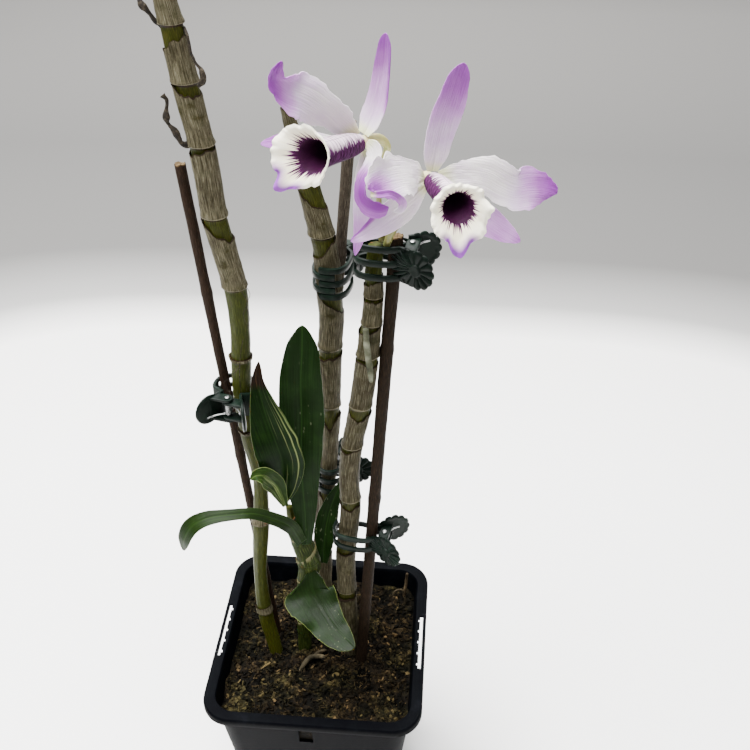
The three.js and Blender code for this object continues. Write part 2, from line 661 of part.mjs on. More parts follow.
// The round finger grip, standing upright: scalloped like a daisy, or plain.
function gripGeometry(kind) {
  const LOBES = 13;
  const count = kind === 'daisy' ? LOBES * 2 : 18;
  const outline = Array.from({ length: count }, (_, i) => {
    const a = (i / count) * 2 * Math.PI;
    const radius = kind === 'plain' ? PLAIN_GRIP_RADIUS : GRIP_RADIUS - (i % 2 ? 0 : 0.9);
    return [Math.cos(a) * radius, Math.sin(a) * radius];
  });
  return slab(outline, GRIP_THICK).translate(0, 0, -GRIP_THICK / 2).rotateX(Math.PI / 2);
}

// One jaw with its band on the +Y side of the ring. The outer jaw has its lugs at the band's two
// edges and the fingers of the odd levels, and the inner jaw fits between.
function jawGeometry({ ring, height, grip }, outer) {
  const hinge = ring[0] + HINGE_REACH;
  const levels = height < 12 ? 3 : 5;
  const finger = (height - (levels - 1) * FINGER_GAP) / levels;
  const spread = rad(GRIP_SPREAD);
  const centre = [hinge + GRIP_AHEAD, GRIP_ASIDE];
  const plateAt = (x) => centre[1] + (x - centre[0]) * Math.tan(spread);
  const band = [...ringArc(ring, 98, 62, 4), [hinge - 4.4, plateAt(hinge - 4.4)], centre];
  let jaw = solid(placed(slab(ribbon(band, CLIP_WALL), height), 0, 0, -height / 2));
  const tips = slab(ribbon(ringArc(ring, 180 + FINGER_REACH, 92, 7), CLIP_WALL), finger);
  for (let level = outer ? 0 : 1; level < levels; level += 2) {
    jaw = jaw.add(solid(placed(tips, 0, 0, level * (finger + FINGER_GAP) - height / 2)));
  }
  jaw = jaw.add(solid(placed(gripGeometry(grip).rotateZ(spread), centre[0], centre[1], 0)));
  const eye = Array.from({ length: 7 }, (_, i) => {
    const a = Math.PI + (i / 6) * Math.PI;
    return [hinge + Math.cos(a) * LUG_RADIUS, Math.sin(a) * LUG_RADIUS];
  });
  const foot = [hinge + LUG_RADIUS, hinge - LUG_RADIUS].map((x) => [x, plateAt(x)]);
  const lug = slab([...eye, ...foot], LUG);
  const lugFoot = height / 2 - LUG - (outer ? 0 : LUG + GAP);
  for (const z of [lugFoot, -lugFoot - LUG]) {
    jaw = jaw.add(solid(placed(lug, 0, 0, z)));
  }
  const bore = new THREE.CylinderGeometry(PIN_RADIUS + GAP, PIN_RADIUS + GAP, height + 4, 8).rotateX(Math.PI / 2);
  return geometryOf(jaw.subtract(solid(placed(bore, hinge, 0, 0))));
}

// The hinge pin with the spring's coil wound round its middle.
function pinGeometry({ height }) {
  const COIL_WIRE = 0.45;
  const half = height / 2 - 2 * LUG - 2 * GAP - 0.3;
  const turns = Math.round(half / COIL_WIRE);
  const profile = [[0, -height / 2 - 0.7], [PIN_RADIUS, -height / 2 - 0.7], [PIN_RADIUS, -half]];
  for (let k = 0; k <= turns; k++) {
    profile.push([k % 2 ? 1.9 : 1.5, -half + (2 * half * k) / turns]);
  }
  profile.push([PIN_RADIUS, half], [PIN_RADIUS, height / 2 + 0.7], [0, height / 2 + 0.7]);
  return new THREE.LatheGeometry(profile.map(([x, y]) => new THREE.Vector2(x, y)), 8).rotateX(Math.PI / 2);
}

for (const clip of CLIPS) {
  const place = new THREE.Group();
  place.position.copy(vec(clip.at));
  place.rotation.z = rad(clip.turn);
  plant.add(place);
  const front = jawGeometry(clip, true);
  // The front jaw is the same form turned over about the ring's long axis.
  addPiece(`${clip.name}_front_jaw`, front.rotateX(Math.PI), FINISH.clip, place);
  addPiece(`${clip.name}_back_jaw`, jawGeometry(clip, false), FINISH.clip, place);
  const pin = addPiece(`${clip.name}_pin`, pinGeometry(clip), FINISH.pin, place);
  pin.position.x = clip.ring[0] + HINGE_REACH;
}

// ---------------------------------------------------------------- bark mix, roots and dry stalk

const SURFACE_ROOT = [[-11.5, -14.5, 96], [-9, -12, 104.4], [-4.9, -8, 106.4], [1, -7.2, 106], [5.4, -9.7, 96]];
const DRY_STALK = [[41.4, 40, 90], [41.8, 41, 103], [42.6, 43, 112], [43, 43.4, 119]];
const AERIAL_ROOT = [[24.9, -4.6, 315], [25.3, -5.4, 308.6], [26, -6.4, 302], [26.8, -6.6, 295.6], [27.2, -6.6, 289.8]];

function mixGeometry() {
  const WALL_GAP = POT_WALL + GAP;
  const foot = POT_FLOOR + GAP;
  const bump = (x, y) => SOIL_BUMP * (Math.sin(x * 0.31 + 1) * Math.cos(y * 0.27) + 0.6 * Math.sin(x * 0.74 - y * 0.63));
  const rings = [foot, 60, SOIL_TOP].map((z) => squareRing(bodyHalfAt(z) - WALL_GAP, bodyCornerAt(z) - 1, z));
  const edge = rings.at(-1);
  for (const share of [0.94, 0.84, 0.72, 0.6, 0.47, 0.34, 0.2]) {
    rings.push(edge.map((p) => vec([p.x * share, p.y * share, SOIL_TOP + bump(p.x * share, p.y * share)])));
  }
  let mix = solid(loft(rings));
  const CLEAR = SOIL_TOP + 8;
  for (const stem of [LEFT_CANE, MIDDLE_CANE, RIGHT_CANE, SHOOT]) {
    const hole = { rows: stem.rows, joints: [CLEAR - 4, ...stem.joints] };
    mix = mix.subtract(solid(caneGeometry(hole, GAP, CLEAR)));
  }
  for (const stick of [LEFT_STICK, MIDDLE_STICK, RIGHT_STICK]) {
    mix = mix.subtract(solid(stickGeometry(stick, GAP, CLEAR)));
  }
  for (const [path, radius] of [[SURFACE_ROOT, 1.3], [DRY_STALK, 0.9]]) {
    mix = mix.subtract(solid(rod(path, [radius + GAP, radius + GAP], 6, 10)));
  }
  return geometryOf(mix);
}

addPiece('bark_mix', mixGeometry(), FINISH.mix);
addPiece('surface_root', rod(SURFACE_ROOT, [1.3, 1.3], 6, 10), FINISH.root);
addPiece('dry_stalk', rod(DRY_STALK, [0.9, 0.9], 6, 10), FINISH.root);
addPiece('aerial_root', rod(AERIAL_ROOT, [1.2, 1.3, 1.3, 0.9], 8, 8), FINISH.root);

export default plant;
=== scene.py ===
import math
from itertools import product

import bpy
import bmesh
import numpy as np
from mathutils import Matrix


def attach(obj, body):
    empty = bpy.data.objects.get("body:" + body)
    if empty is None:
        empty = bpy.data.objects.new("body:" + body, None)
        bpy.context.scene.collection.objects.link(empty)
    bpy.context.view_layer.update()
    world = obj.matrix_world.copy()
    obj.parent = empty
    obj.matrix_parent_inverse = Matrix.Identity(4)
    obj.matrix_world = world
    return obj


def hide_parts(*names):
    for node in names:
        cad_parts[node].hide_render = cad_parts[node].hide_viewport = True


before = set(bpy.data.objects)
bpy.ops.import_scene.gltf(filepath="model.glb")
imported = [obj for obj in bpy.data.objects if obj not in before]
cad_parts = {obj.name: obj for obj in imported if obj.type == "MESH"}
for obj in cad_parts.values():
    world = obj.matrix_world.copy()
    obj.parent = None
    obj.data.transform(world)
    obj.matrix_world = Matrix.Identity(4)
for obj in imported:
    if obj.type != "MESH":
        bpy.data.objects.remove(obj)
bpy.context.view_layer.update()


# ---- Studio: a pale table, near white in the middle and painted grey further off as painted shade, a large soft lamp
# ---- above on the left, a weak one on the right, and the camera where the viewer stands.

def linear(hex_colour):
    """An sRGB hex colour as linear numbers."""
    shares = [int(hex_colour[k:k + 2], 16) / 255 for k in (1, 3, 5)]
    return [v / 12.92 if v <= 0.04045 else ((v + 0.055) / 1.055) ** 2.4 for v in shares] + [1.0]


def new_finish(name):
    """A blank finish, and the function that adds a node to it.

    A text given to a node is a colour, "place" for where on the piece, or a mark kept at its points.
    """
    finish = bpy.data.materials.new(name)
    finish.use_nodes = True
    tree = finish.node_tree
    tree.nodes.clear()
    read = {}

    def add(kind, *inputs, stops=(), **more):
        """Adds one node: small letters are its settings, and the rest is plugged in or set."""
        made = tree.nodes.new("ShaderNode" + kind)
        if kind == "Mix":
            made.data_type = "RGBA"
        for setting in [name for name in more if name[0].islower()]:
            setattr(made, setting, more.pop(setting))
        plugs = list(zip([socket for socket in made.inputs if socket.enabled], inputs))
        plugs += [(made.inputs[name.replace("_", " ")], value) for name, value in more.items()]
        for socket, value in plugs:
            if isinstance(value, str) and value[0] != "#":
                if value not in read and value == "place":
                    read[value] = add("TexCoord")
                elif value not in read:
                    read[value] = add("Attribute", attribute_name=value)
                value = read[value]
            if isinstance(value, bpy.types.Node):
                results = [result for result in value.outputs if result.enabled]
                value = next((result for result in results if result.name in ("Fac", "Object")), results[0])
            if isinstance(value, bpy.types.NodeSocket):
                tree.links.new(value, socket)
            else:
                socket.default_value = linear(value) if isinstance(value, str) else value
        for k, (where, colour) in enumerate(stops):
            marks = made.color_ramp.elements
            mark = marks[k] if k < 2 else marks.new(where)
            mark.position = where
            mark.color = linear(colour)
        return made

    return finish, add


def laid(add, below, above, pattern, start, full, most=1.0):
    """One tone over another, where a pattern goes from start to full."""
    return add("Mix", add("MapRange", pattern, From_Min=start, From_Max=full, To_Max=most), below, above)


def coat(add, colour, rough, relief=None, **more):
    """Ends a finish. Rough is a pattern and its two limits, relief a pattern, its strength and depth."""
    if isinstance(rough, tuple):
        rough = add("MapRange", rough[0], To_Min=rough[1], To_Max=rough[2])
    if relief:
        more["Normal"] = add("Bump", Height=relief[0], Strength=relief[1], Distance=relief[2])
    add("OutputMaterial", Surface=add("BsdfPrincipled", Base_Color=colour, Roughness=rough, **more))


def new_object(name, data):
    """An object put into the scene."""
    made = bpy.data.objects.new(name, data)
    bpy.context.scene.collection.objects.link(made)
    return made


def fasten(piece, body, node, slot):
    """The body that a piece moves with, the plain part that it stands for, and its material slot, which is
    not used.
    """
    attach(piece, body)
    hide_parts(node)


def make_piece(name, part, finish, *fixing, smooth=True):
    """A piece from points in mm, faces, and marks, which are numbers kept at the points for the finish."""
    points, faces, marks = part
    mesh = bpy.data.meshes.new(name)
    mesh.from_pydata((np.asarray(points, float) / 1000).tolist(), [], faces)
    for mark, values in marks.items():
        layer = mesh.attributes.new(mark, "FLOAT", "POINT")
        layer.data.foreach_set("value", np.asarray(values, np.float32).ravel())
    work = bmesh.new()
    work.from_mesh(mesh)
    bmesh.ops.recalc_face_normals(work, faces=work.faces)
    work.to_mesh(mesh)
    work.free()
    mesh.polygons.foreach_set("use_smooth", [smooth] * len(mesh.polygons))
    mesh.materials.append(finish)
    piece = new_object(name, mesh)
    if fixing:
        fasten(piece, *fixing)
    return piece


def circle(count):
    """Angles evenly round a circle."""
    return np.arange(count) / count * 2 * math.pi


def loft_faces(rings, around, ends=2, closed=False):
    """Quads between rings of equal count, with none, one or both ends, or with the ends joined."""
    i = np.arange(around)
    n = (i + 1) % around
    faces = []
    for k in range(rings if closed else rings - 1):
        a, b = k * around, (k + 1) % rings * around
        faces += np.stack([a + i, a + n, b + n, b + i], 1).tolist()
    caps = [i.tolist(), (i + (rings - 1) * around).tolist()]
    return faces if closed else faces + caps[:ends]


lens = bpy.data.cameras.new("camera")
lens.lens = 45.6
lens.sensor_width = 36
camera = new_object("camera", lens)
camera.location = (0.054, -0.322, 0.527)
camera.rotation_euler = (math.radians(53.6), 0, math.radians(4.57))
bpy.context.scene.camera = camera

TABLE_REACH = 4000  # mm from its middle to its edge
TABLE_SIDES = 64
table_rings = np.array([0.001, 0.05, 0.1, 0.2, 0.4, 1.0]) * TABLE_REACH
table_points = [(r * math.cos(a), r * math.sin(a), -0.4) for r in table_rings for a in circle(TABLE_SIDES)]
matt_card, add = new_finish("matt_card")
# The table's colour is painted shade: near white by the middle, then grey further off, where the light falls
# off.
squared = add("VectorMath", "place", "place", operation="MULTIPLY")
apart = add("SeparateXYZ", Vector=add("VectorMath", squared, squared, operation="MULTIPLY"))
summed = add("Math", apart.outputs["X"], apart.outputs["Y"], operation="ADD")
far = add("Math", summed, 0.25, operation="POWER")
painted_shade_amount = add("MapRange", far, From_Min=0.3, From_Max=1.6)
painted_far_shade = add("ValToRGB", painted_shade_amount, stops=[(0, "#fbfaf8"), (0.125, "#f5f3f0"), (0.173, "#959492"),
    (0.25, "#636260"), (0.48, "#646361"), (1, "#888683")])
coat(add, painted_far_shade, 0.85)
table_faces = loft_faces(len(table_rings), TABLE_SIDES, ends=1)
make_piece("table", (table_points, table_faces, {}), matt_card)

for lamp_name, spot, size, watts in (
    ("soft_lamp", (-0.4, 0.0, 1.6), 1.3, 150),
    ("fill_lamp", (1.3, -0.9, 0.9), 1.2, 11),
    ("back_lamp", (-0.2, 1.3, 1.3), 1.0, 20),
):
    glow = bpy.data.lights.new(lamp_name, "AREA")
    glow.size = size
    glow.energy = watts
    lamp = new_object(lamp_name, glow)
    lamp.location = spot
    aim = np.array([0, 0, 0.22]) - np.array(spot)
    tilt = math.atan2(math.hypot(aim[0], aim[1]), -aim[2])
    lamp.rotation_euler = (tilt, 0, math.atan2(aim[1], aim[0]) - math.pi / 2)
air = bpy.data.worlds.new("air")
air.use_nodes = True
air.node_tree.nodes["Background"].inputs["Color"].default_value = linear("#f4f5f7")
air.node_tree.nodes["Background"].inputs["Strength"].default_value = 0.8
bpy.context.scene.world = air


# ---- Pot: one shell of black polypropylene, injection moulded. A flat rim turns down to a short
# ---- lip, two long label slots go through the rim, and the floor has round drain holes.

POT_HEIGHT = 115
RIM_HALF = 55
OPENING_HALF = 49
FOOT_HALF = 38
WALL = 1.2


def square_ring(half, corner, z, arc=10, flat=8):
    """Points of a level square ring with round corners, anticlockwise from the right side."""
    ring = []
    for quarter in range(4):
        x = (1, -1, -1, 1)[quarter] * (half - corner)
        y = (1, 1, -1, -1)[quarter] * (half - corner)
        for k in range(arc + 1):
            a = (quarter + k / arc) * math.pi / 2
            ring.append((x + math.cos(a) * corner, y + math.sin(a) * corner, z))
        end = ring[-1]
        step = 2 * (half - corner) / flat
        way = ((-1, 0), (0, -1), (1, 0), (0, 1))[quarter]
        ring += [(end[0] + way[0] * step * k, end[1] + way[1] * step * k, z) for k in range(1, flat)]
    return np.array(ring)


def wall_half(z):
    """Half the pot's outer width at a height."""
    return FOOT_HALF + (OPENING_HALF + WALL - FOOT_HALF) * z / POT_HEIGHT


def wall_corner(z):
    """Radius of the pot's corners at a height."""
    return 9 + 2 * z / POT_HEIGHT


pot_profile = [
    (FOOT_HALF - 3, 7, 0.6), (FOOT_HALF - 2.4, 7.4, 0), (FOOT_HALF - 0.5, 8.8, 0), (FOOT_HALF, 9, 0.5),
    *[(wall_half(z), wall_corner(z), z) for z in (6, 20, 40, 60, 80, 96, 105, 110)],
    (wall_half(113.2), 11, 113.2), (wall_half(113.6) + 0.5, 11.4, 113.6), (RIM_HALF - 1.7, 14.2, 113.6),
    (RIM_HALF - 1.2, 14.6, 113.0), (RIM_HALF - 1.2, 14.6, 110.8), (RIM_HALF - 1.0, 14.8, 110.5),
    (RIM_HALF - 0.2, 15, 110.5), (RIM_HALF, 15, 110.8), (RIM_HALF, 15, 113.6), (RIM_HALF - 0.2, 15, 114.5),
    (RIM_HALF - 0.8, 14.5, 115), (OPENING_HALF + 1.2, 11.6, 115), (OPENING_HALF + 0.4, 11, 114.8),
    (OPENING_HALF, 10.6, 114.2),
    *[(wall_half(z) - WALL, wall_corner(z) - 1, z) for z in (112, 105, 98, 80, 60, 40, 20, 4)],
    (FOOT_HALF - WALL - 0.6, 7.4, 1.8)]
pot_rings = [square_ring(*row) for row in pot_profile]
pot_faces = loft_faces(len(pot_rings), len(pot_rings[0]))

moulded_polypropylene, add = new_finish("moulded_black_polypropylene")
grit = add("TexNoise", "place", Scale=900.0, Detail=3.0)
dust = add("TexNoise", "place", Scale=90.0, Detail=6.0, Roughness=0.7)
tone = add("ValToRGB", dust, stops=[(0.3, "#020204"), (0.55, "#040507"), (0.74, "#0b0c10")])
coat(add, tone, (dust, 0.45, 0.65), (grit, 0.12, 0.0004), IOR=1.49, Specular_IOR_Level=0.02)

pot = make_piece("pot_shell", (np.concatenate(pot_rings), pot_faces, {}), moulded_polypropylene)
cutters = [((-3, -49, 97.5), (7, 6, 15))]
for side in (-1, 1):
    cutters.append(((side * 52.4, 0, POT_HEIGHT), (1.5, 34, 6)))
    cutters += [((side * 51.4, notch, POT_HEIGHT), (1.2, 2.2, 6)) for notch in (-14, -7, 0, 7, 14)]
work = bmesh.new()
for (x, y, z), size in cutters:
    made = bmesh.ops.create_cube(work, size=0.001)["verts"]
    bmesh.ops.scale(work, vec=size, verts=made)
    bmesh.ops.translate(work, vec=(x / 1000, y / 1000, z / 1000), verts=made)
DRAIN_HOLES = 8
for k, a in enumerate(circle(DRAIN_HOLES)):
    reach = 0.033 if k % 2 else 0.024
    made = bmesh.ops.create_cone(work, cap_ends=True, segments=28, radius1=0.0035, radius2=0.0035,
                                 depth=0.008)
    bmesh.ops.translate(work, vec=(math.cos(a) * reach, math.sin(a) * reach, 0), verts=made["verts"])
slots = bpy.data.meshes.new("slots")
work.to_mesh(slots)
work.free()
slot_tool = new_object("slots", slots)
cut = pot.modifiers.new("cut", "BOOLEAN")
cut.operation = "DIFFERENCE"
cut.solver = "EXACT"
cut.object = slot_tool
cut.use_self = True


def settle(piece):
    """Applies a piece's modifiers to its mesh."""
    shaped = bpy.data.meshes.new_from_object(piece.evaluated_get(bpy.context.evaluated_depsgraph_get()))
    piece.modifiers.clear()
    piece.data = shaped


bpy.context.view_layer.update()
settle(pot)
bpy.data.objects.remove(slot_tool)
pot.data.set_sharp_from_angle(angle=math.radians(38))
fasten(pot, "root", "pot", "pot_plastic")


# ---- Bark mix: chips of pine bark with moss on them and pale root threads, filled to a finger's
# ---- width under the rim. It is damp, so it looks nearly black with rusty and olive flecks; its hollows are
# painted darker as shade.

SOIL_TOP = 103
SOIL_HALF = 48.2
MIX_REACH = 47
CORNER_REACH = 41
rng = np.random.default_rng(7)


def grain(points, size, seed=0):
    """Smooth random numbers from -1 to 1 at points, changing over about that size in mm."""
    p = np.asarray(points, float) / size + 500 + seed * 13.7
    low = np.floor(p).astype(np.int64)
    f = p - low
    f = f * f * (3 - 2 * f)
    total = np.zeros(len(p))
    for corner in product((0, 1), repeat=p.shape[1]):
        c = low + np.array(corner)
        h = np.zeros(len(p), np.int64)
        for axis, prime in zip(range(p.shape[1]), (73856093, 19349663, 83492791)):
            h ^= c[:, axis] * prime
        h = (h ^ (seed * 2654435761)) & 0xFFFFFFFF
        h = ((h ^ (h >> 13)) * 1274126177) & 0xFFFFFFFF
        h = (h ^ (h >> 16)) & 0xFFFF
        total += np.prod(np.where(corner, f, 1 - f), 1) * (h / 32767.5 - 1)
    return total


def clumps(p):
    """Height of the moss clumps over the hollows between them."""
    return 2.1 * grain(p, 6.5, 2) + 1.1 * grain(p, 3, 3) + 0.45 * grain(p, 1.3, 4)


def mix_height(p):
    """Height of the mix at points, higher in the middle than at the walls."""
    middle = 1 - (np.max(abs(p), 1) / OPENING_HALF) ** 2
    return SOIL_TOP - 1 + 1.4 * middle + 1.3 * grain(p, 14, 1) + clumps(p)


def joined(parts):
    """One set of points, faces and marks from several."""
    points, faces, marks, start = [], [], {}, 0
    for part_points, part_faces, part_marks in parts:
        points.append(part_points)
        faces += [[start + q for q in f] for f in part_faces]
        for name, values in part_marks.items():
            marks.setdefault(name, []).append(np.broadcast_to(values, len(part_points)))
        start += len(part_points)
    return np.concatenate(points), faces, {name: np.concatenate(v) for name, v in marks.items()}


def shaken(points, size, seed):
    """Three smooth random numbers for each point."""
    return np.stack([grain(points, size, seed + k) for k in range(3)], 1)


def rounded(t, start, length, least):
    """How far a shape still reaches where it rounds off past a start, along a length."""
    return np.sqrt(np.clip(1 - (np.maximum(t - start, 0) / length) ** 2, least, 1))


def unit(v):
    """Vectors, one or in rows, made one long."""
    v = np.asarray(v, float)
    return v / np.maximum(np.linalg.norm(v, axis=-1, keepdims=True), 1e-9)


def tube(line, radii, around, **marks):
    """A closed round tube along a line of points."""
    line = np.asarray(line, float)
    ahead = unit(np.gradient(line, axis=0))
    side = np.cross(ahead[0], (0, 0, 1) if abs(ahead[0][2]) < 0.9 else (1, 0, 0))
    radii = np.broadcast_to(radii, len(line))
    turn = circle(around)
    points = []
    for middle, way, radius in zip(line, ahead, radii):
        side = unit(side - way * (side @ way))
        across = np.cos(turn)[:, None] * side + np.sin(turn)[:, None] * np.cross(way, side)
        points.append(middle + radius * across)
    t = np.repeat(np.linspace(0, 1, len(line)), around)
    return np.concatenate(points), loft_faces(len(line), around), {"along": t, **marks}


SOIL_RINGS = 70
soil_rings = []
for s in np.linspace(0.01, 1, SOIL_RINGS):
    ring = square_ring(SOIL_HALF * s, (3 + 6.6 * s) * s, 0, arc=14, flat=22)
    ring[:, 2] = mix_height(ring[:, :2])
    soil_rings.append(ring)
for z in (99, 80, 60, 40, 20, 3):
    soil_rings.append(square_ring(wall_half(z) - WALL - 0.3, wall_corner(z) - 1.2, z, arc=14, flat=22))
soil_points = np.concatenate(soil_rings)
soil_faces = loft_faces(len(soil_rings), len(soil_rings[0]))

damp_bark, add = new_finish("damp_pine_bark")
flecks = add("TexNoise", "place", Scale=420.0, Detail=8.0, Roughness=0.7)
patches = add("TexNoise", "place", Scale=70.0, Detail=4.0)
mixed = add("Math", "tone", flecks, operation="ADD")
wood_tone = add("ValToRGB", mixed, stops=[(0.25, "#020201"), (0.42, "#070604"), (0.58, "#151009"),
    (0.74, "#2a2214"), (0.92, "#57462e")])
moss_tone = add("ValToRGB", mixed, stops=[(0.3, "#030301"), (0.46, "#0a0a05"), (0.6, "#1d1b0e"),
    (0.78, "#403a22")])
tone = laid(add, wood_tone, moss_tone, patches, 0.46, 0.6, 0.75)
coat(add, tone, (patches, 0.62, 0.95), (flecks, 0.6, 0.0008), Specular_IOR_Level=0.04)
# The mix's tone mark follows the clumps: painted shade, darker in the hollows and lighter on the clump tops.
hollow_shade_marks = {"tone": 0.075 * clumps(soil_points[:, :2])}
make_piece("bark_bed", (soil_points, soil_faces, hollow_shade_marks), damp_bark, "root", "bark_mix", "bark")


def spun(angle, i, j):
    """A turn between two of the axes, for points that stand before it."""
    matrix = np.eye(3)
    matrix[i, i] = matrix[j, j] = math.cos(angle)
    matrix[i, j], matrix[j, i] = -math.sin(angle), math.sin(angle)
    return matrix


CHIPS = 5200
chip_corners = np.array(list(product((-1, 0, 1), (-1, 0, 1), (-1, 1))), float)
corner_at = {tuple(p): k for k, p in enumerate(chip_corners)}
chip_faces = []
for x, y, z in product((-1, 0), (-1, 0), (-1, 1)):
    chip_faces.append([corner_at[q] for q in ((x, y, z), (x + 1, y, z), (x + 1, y + 1, z), (x, y + 1, z))])
rim_walk = [(-1, -1), (0, -1), (1, -1), (1, 0), (1, 1), (0, 1), (-1, 1), (-1, 0)]
for a, b in zip(rim_walk, rim_walk[1:] + rim_walk[:1]):
    chip_faces.append([corner_at[q] for q in ((*a, -1), (*b, -1), (*b, 1), (*a, 1))])
chip_corners[:, :2] *= np.where(np.sum(abs(chip_corners[:, :2]), 1, keepdims=True) > 1.5, 0.78, 1.0)
chips = []
for k in range(CHIPS):
    x, y = rng.uniform(-MIX_REACH, MIX_REACH, 2)
    size = rng.lognormal(0, 0.55, 3) * np.array([0.85, 0.6, 0.42])
    size = np.minimum(size, (3.4, 2.0, 1.1))
    if max(abs(x), abs(y)) + size[0] > 48.0 or min(abs(x), abs(y)) > CORNER_REACH:
        continue
    shape = chip_corners * size * (1 + rng.uniform(-0.22, 0.22, chip_corners.shape))
    turn, tilt, roll = rng.uniform(0, 2 * math.pi), rng.normal(0, 0.4), rng.normal(0, 0.4)
    shape = shape @ spun(tilt, 1, 2) @ spun(roll, 2, 0) @ spun(turn, 0, 1)
    spot = np.array([[x, y]])
    z = mix_height(spot)[0] + size[2] * rng.uniform(-0.3, 0.7)
    # A chip's tone is a random real tone, plus painted shade from the clumps below it: darker in the hollows.
    tone = rng.choice([-0.12, 0, 0.08, 0.2, 0.42], p=[0.32, 0.34, 0.22, 0.1, 0.02])
    chips.append((shape + (x, y, z), chip_faces, {"tone": 0.06 * clumps(spot)[0] + tone}))
make_piece("bark_chips", joined(chips), damp_bark, "root", "bark_mix", "bark", smooth=False)

moss_thread, add = new_finish("dead_moss_threads")
cloud = add("TexNoise", "place", Scale=180.0, Detail=5.0)
tone = add("ValToRGB", cloud, stops=[(0.34, "#0b0905"), (0.5, "#1c170d"), (0.62, "#352c1b"),
    (0.78, "#665638")])
coat(add, tone, (cloud, 0.7, 0.95), Specular_IOR_Level=0.05)
THREADS = 1000
threads = []
for k in range(THREADS):
    x, y = rng.uniform(-46, 46, 2)
    spot = np.array([[x, y]])
    if grain(spot, 12, 9)[0] < rng.uniform(-0.6, 0.3) or min(abs(x), abs(y)) > CORNER_REACH:
        continue
    way, length = rng.uniform(0, 2 * math.pi), rng.uniform(1.5, 5)
    steps = np.linspace(-0.5, 0.5, 7)
    way = way + rng.uniform(-0.4, 0.4) * steps * 4
    rise = 0.7 + rng.uniform(0, 0.9) * (1 - 4 * steps ** 2) + rng.normal(0, 0.12, 7)
    flat = spot + np.stack([np.cos(way), np.sin(way)], 1) * (length * steps)[:, None]
    line = np.column_stack([flat.clip(-MIX_REACH, MIX_REACH), mix_height(spot) + rise])
    threads.append(tube(line, rng.uniform(0.08, 0.2), 5))
make_piece("moss_threads", joined(threads), moss_thread, "root", "bark_mix", "bark")


# ---- Canes: three jointed pseudobulbs, green under dry papery sheaths that wrap each joint's
# ---- length and end in a slanting torn edge. The left cane is bare and fresh green low down.

def neighbours(rows, t):
    """The four rows round shares t of a list drawn out at its ends, and how far t is past the second."""
    rows = np.asarray(rows, float)
    p = np.concatenate([[2 * rows[0] - rows[1]], rows, [2 * rows[-1] - rows[-2]]])
    s = np.clip(np.asarray(t, float), 0, 1) * (len(rows) - 1)
    i = np.minimum(s.astype(int), len(rows) - 2)
    return p[i], p[i + 1], p[i + 2], p[i + 3], (s - i).reshape((-1,) + (1,) * (rows.ndim - 1))


def smooth_line(rows, t):
    """Points of a smooth curve through rows at shares t of it, where every row is an equal step."""
    a, b, c, d, f = neighbours(rows, t)
    gaps = (b - a, c - b, d - c)
    k, m, n = (np.maximum(np.linalg.norm(gap, axis=1), 1e-6)[:, None] ** 0.5 for gap in gaps)
    from_b = ((b - a) / k - (c - a) / (k + m) + (c - b) / m) * m
    to_c = ((c - b) / m - (d - b) / (m + n) + (d - c) / n) * m
    bend = 3 * (c - b) - 2 * from_b - to_c
    return b + from_b * f + bend * f ** 2 + (from_b + to_c - 2 * (c - b)) * f ** 3


def eased(values, t):
    """Values of an even list at shares t of its length, without kinks."""
    a, b, c, d, f = neighbours(values, t)
    bend = a - 2.5 * b + 2 * c - d / 2
    return b + (c - a) / 2 * f + bend * f ** 2 + (1.5 * (b - c) + (d - a) / 2) * f ** 3
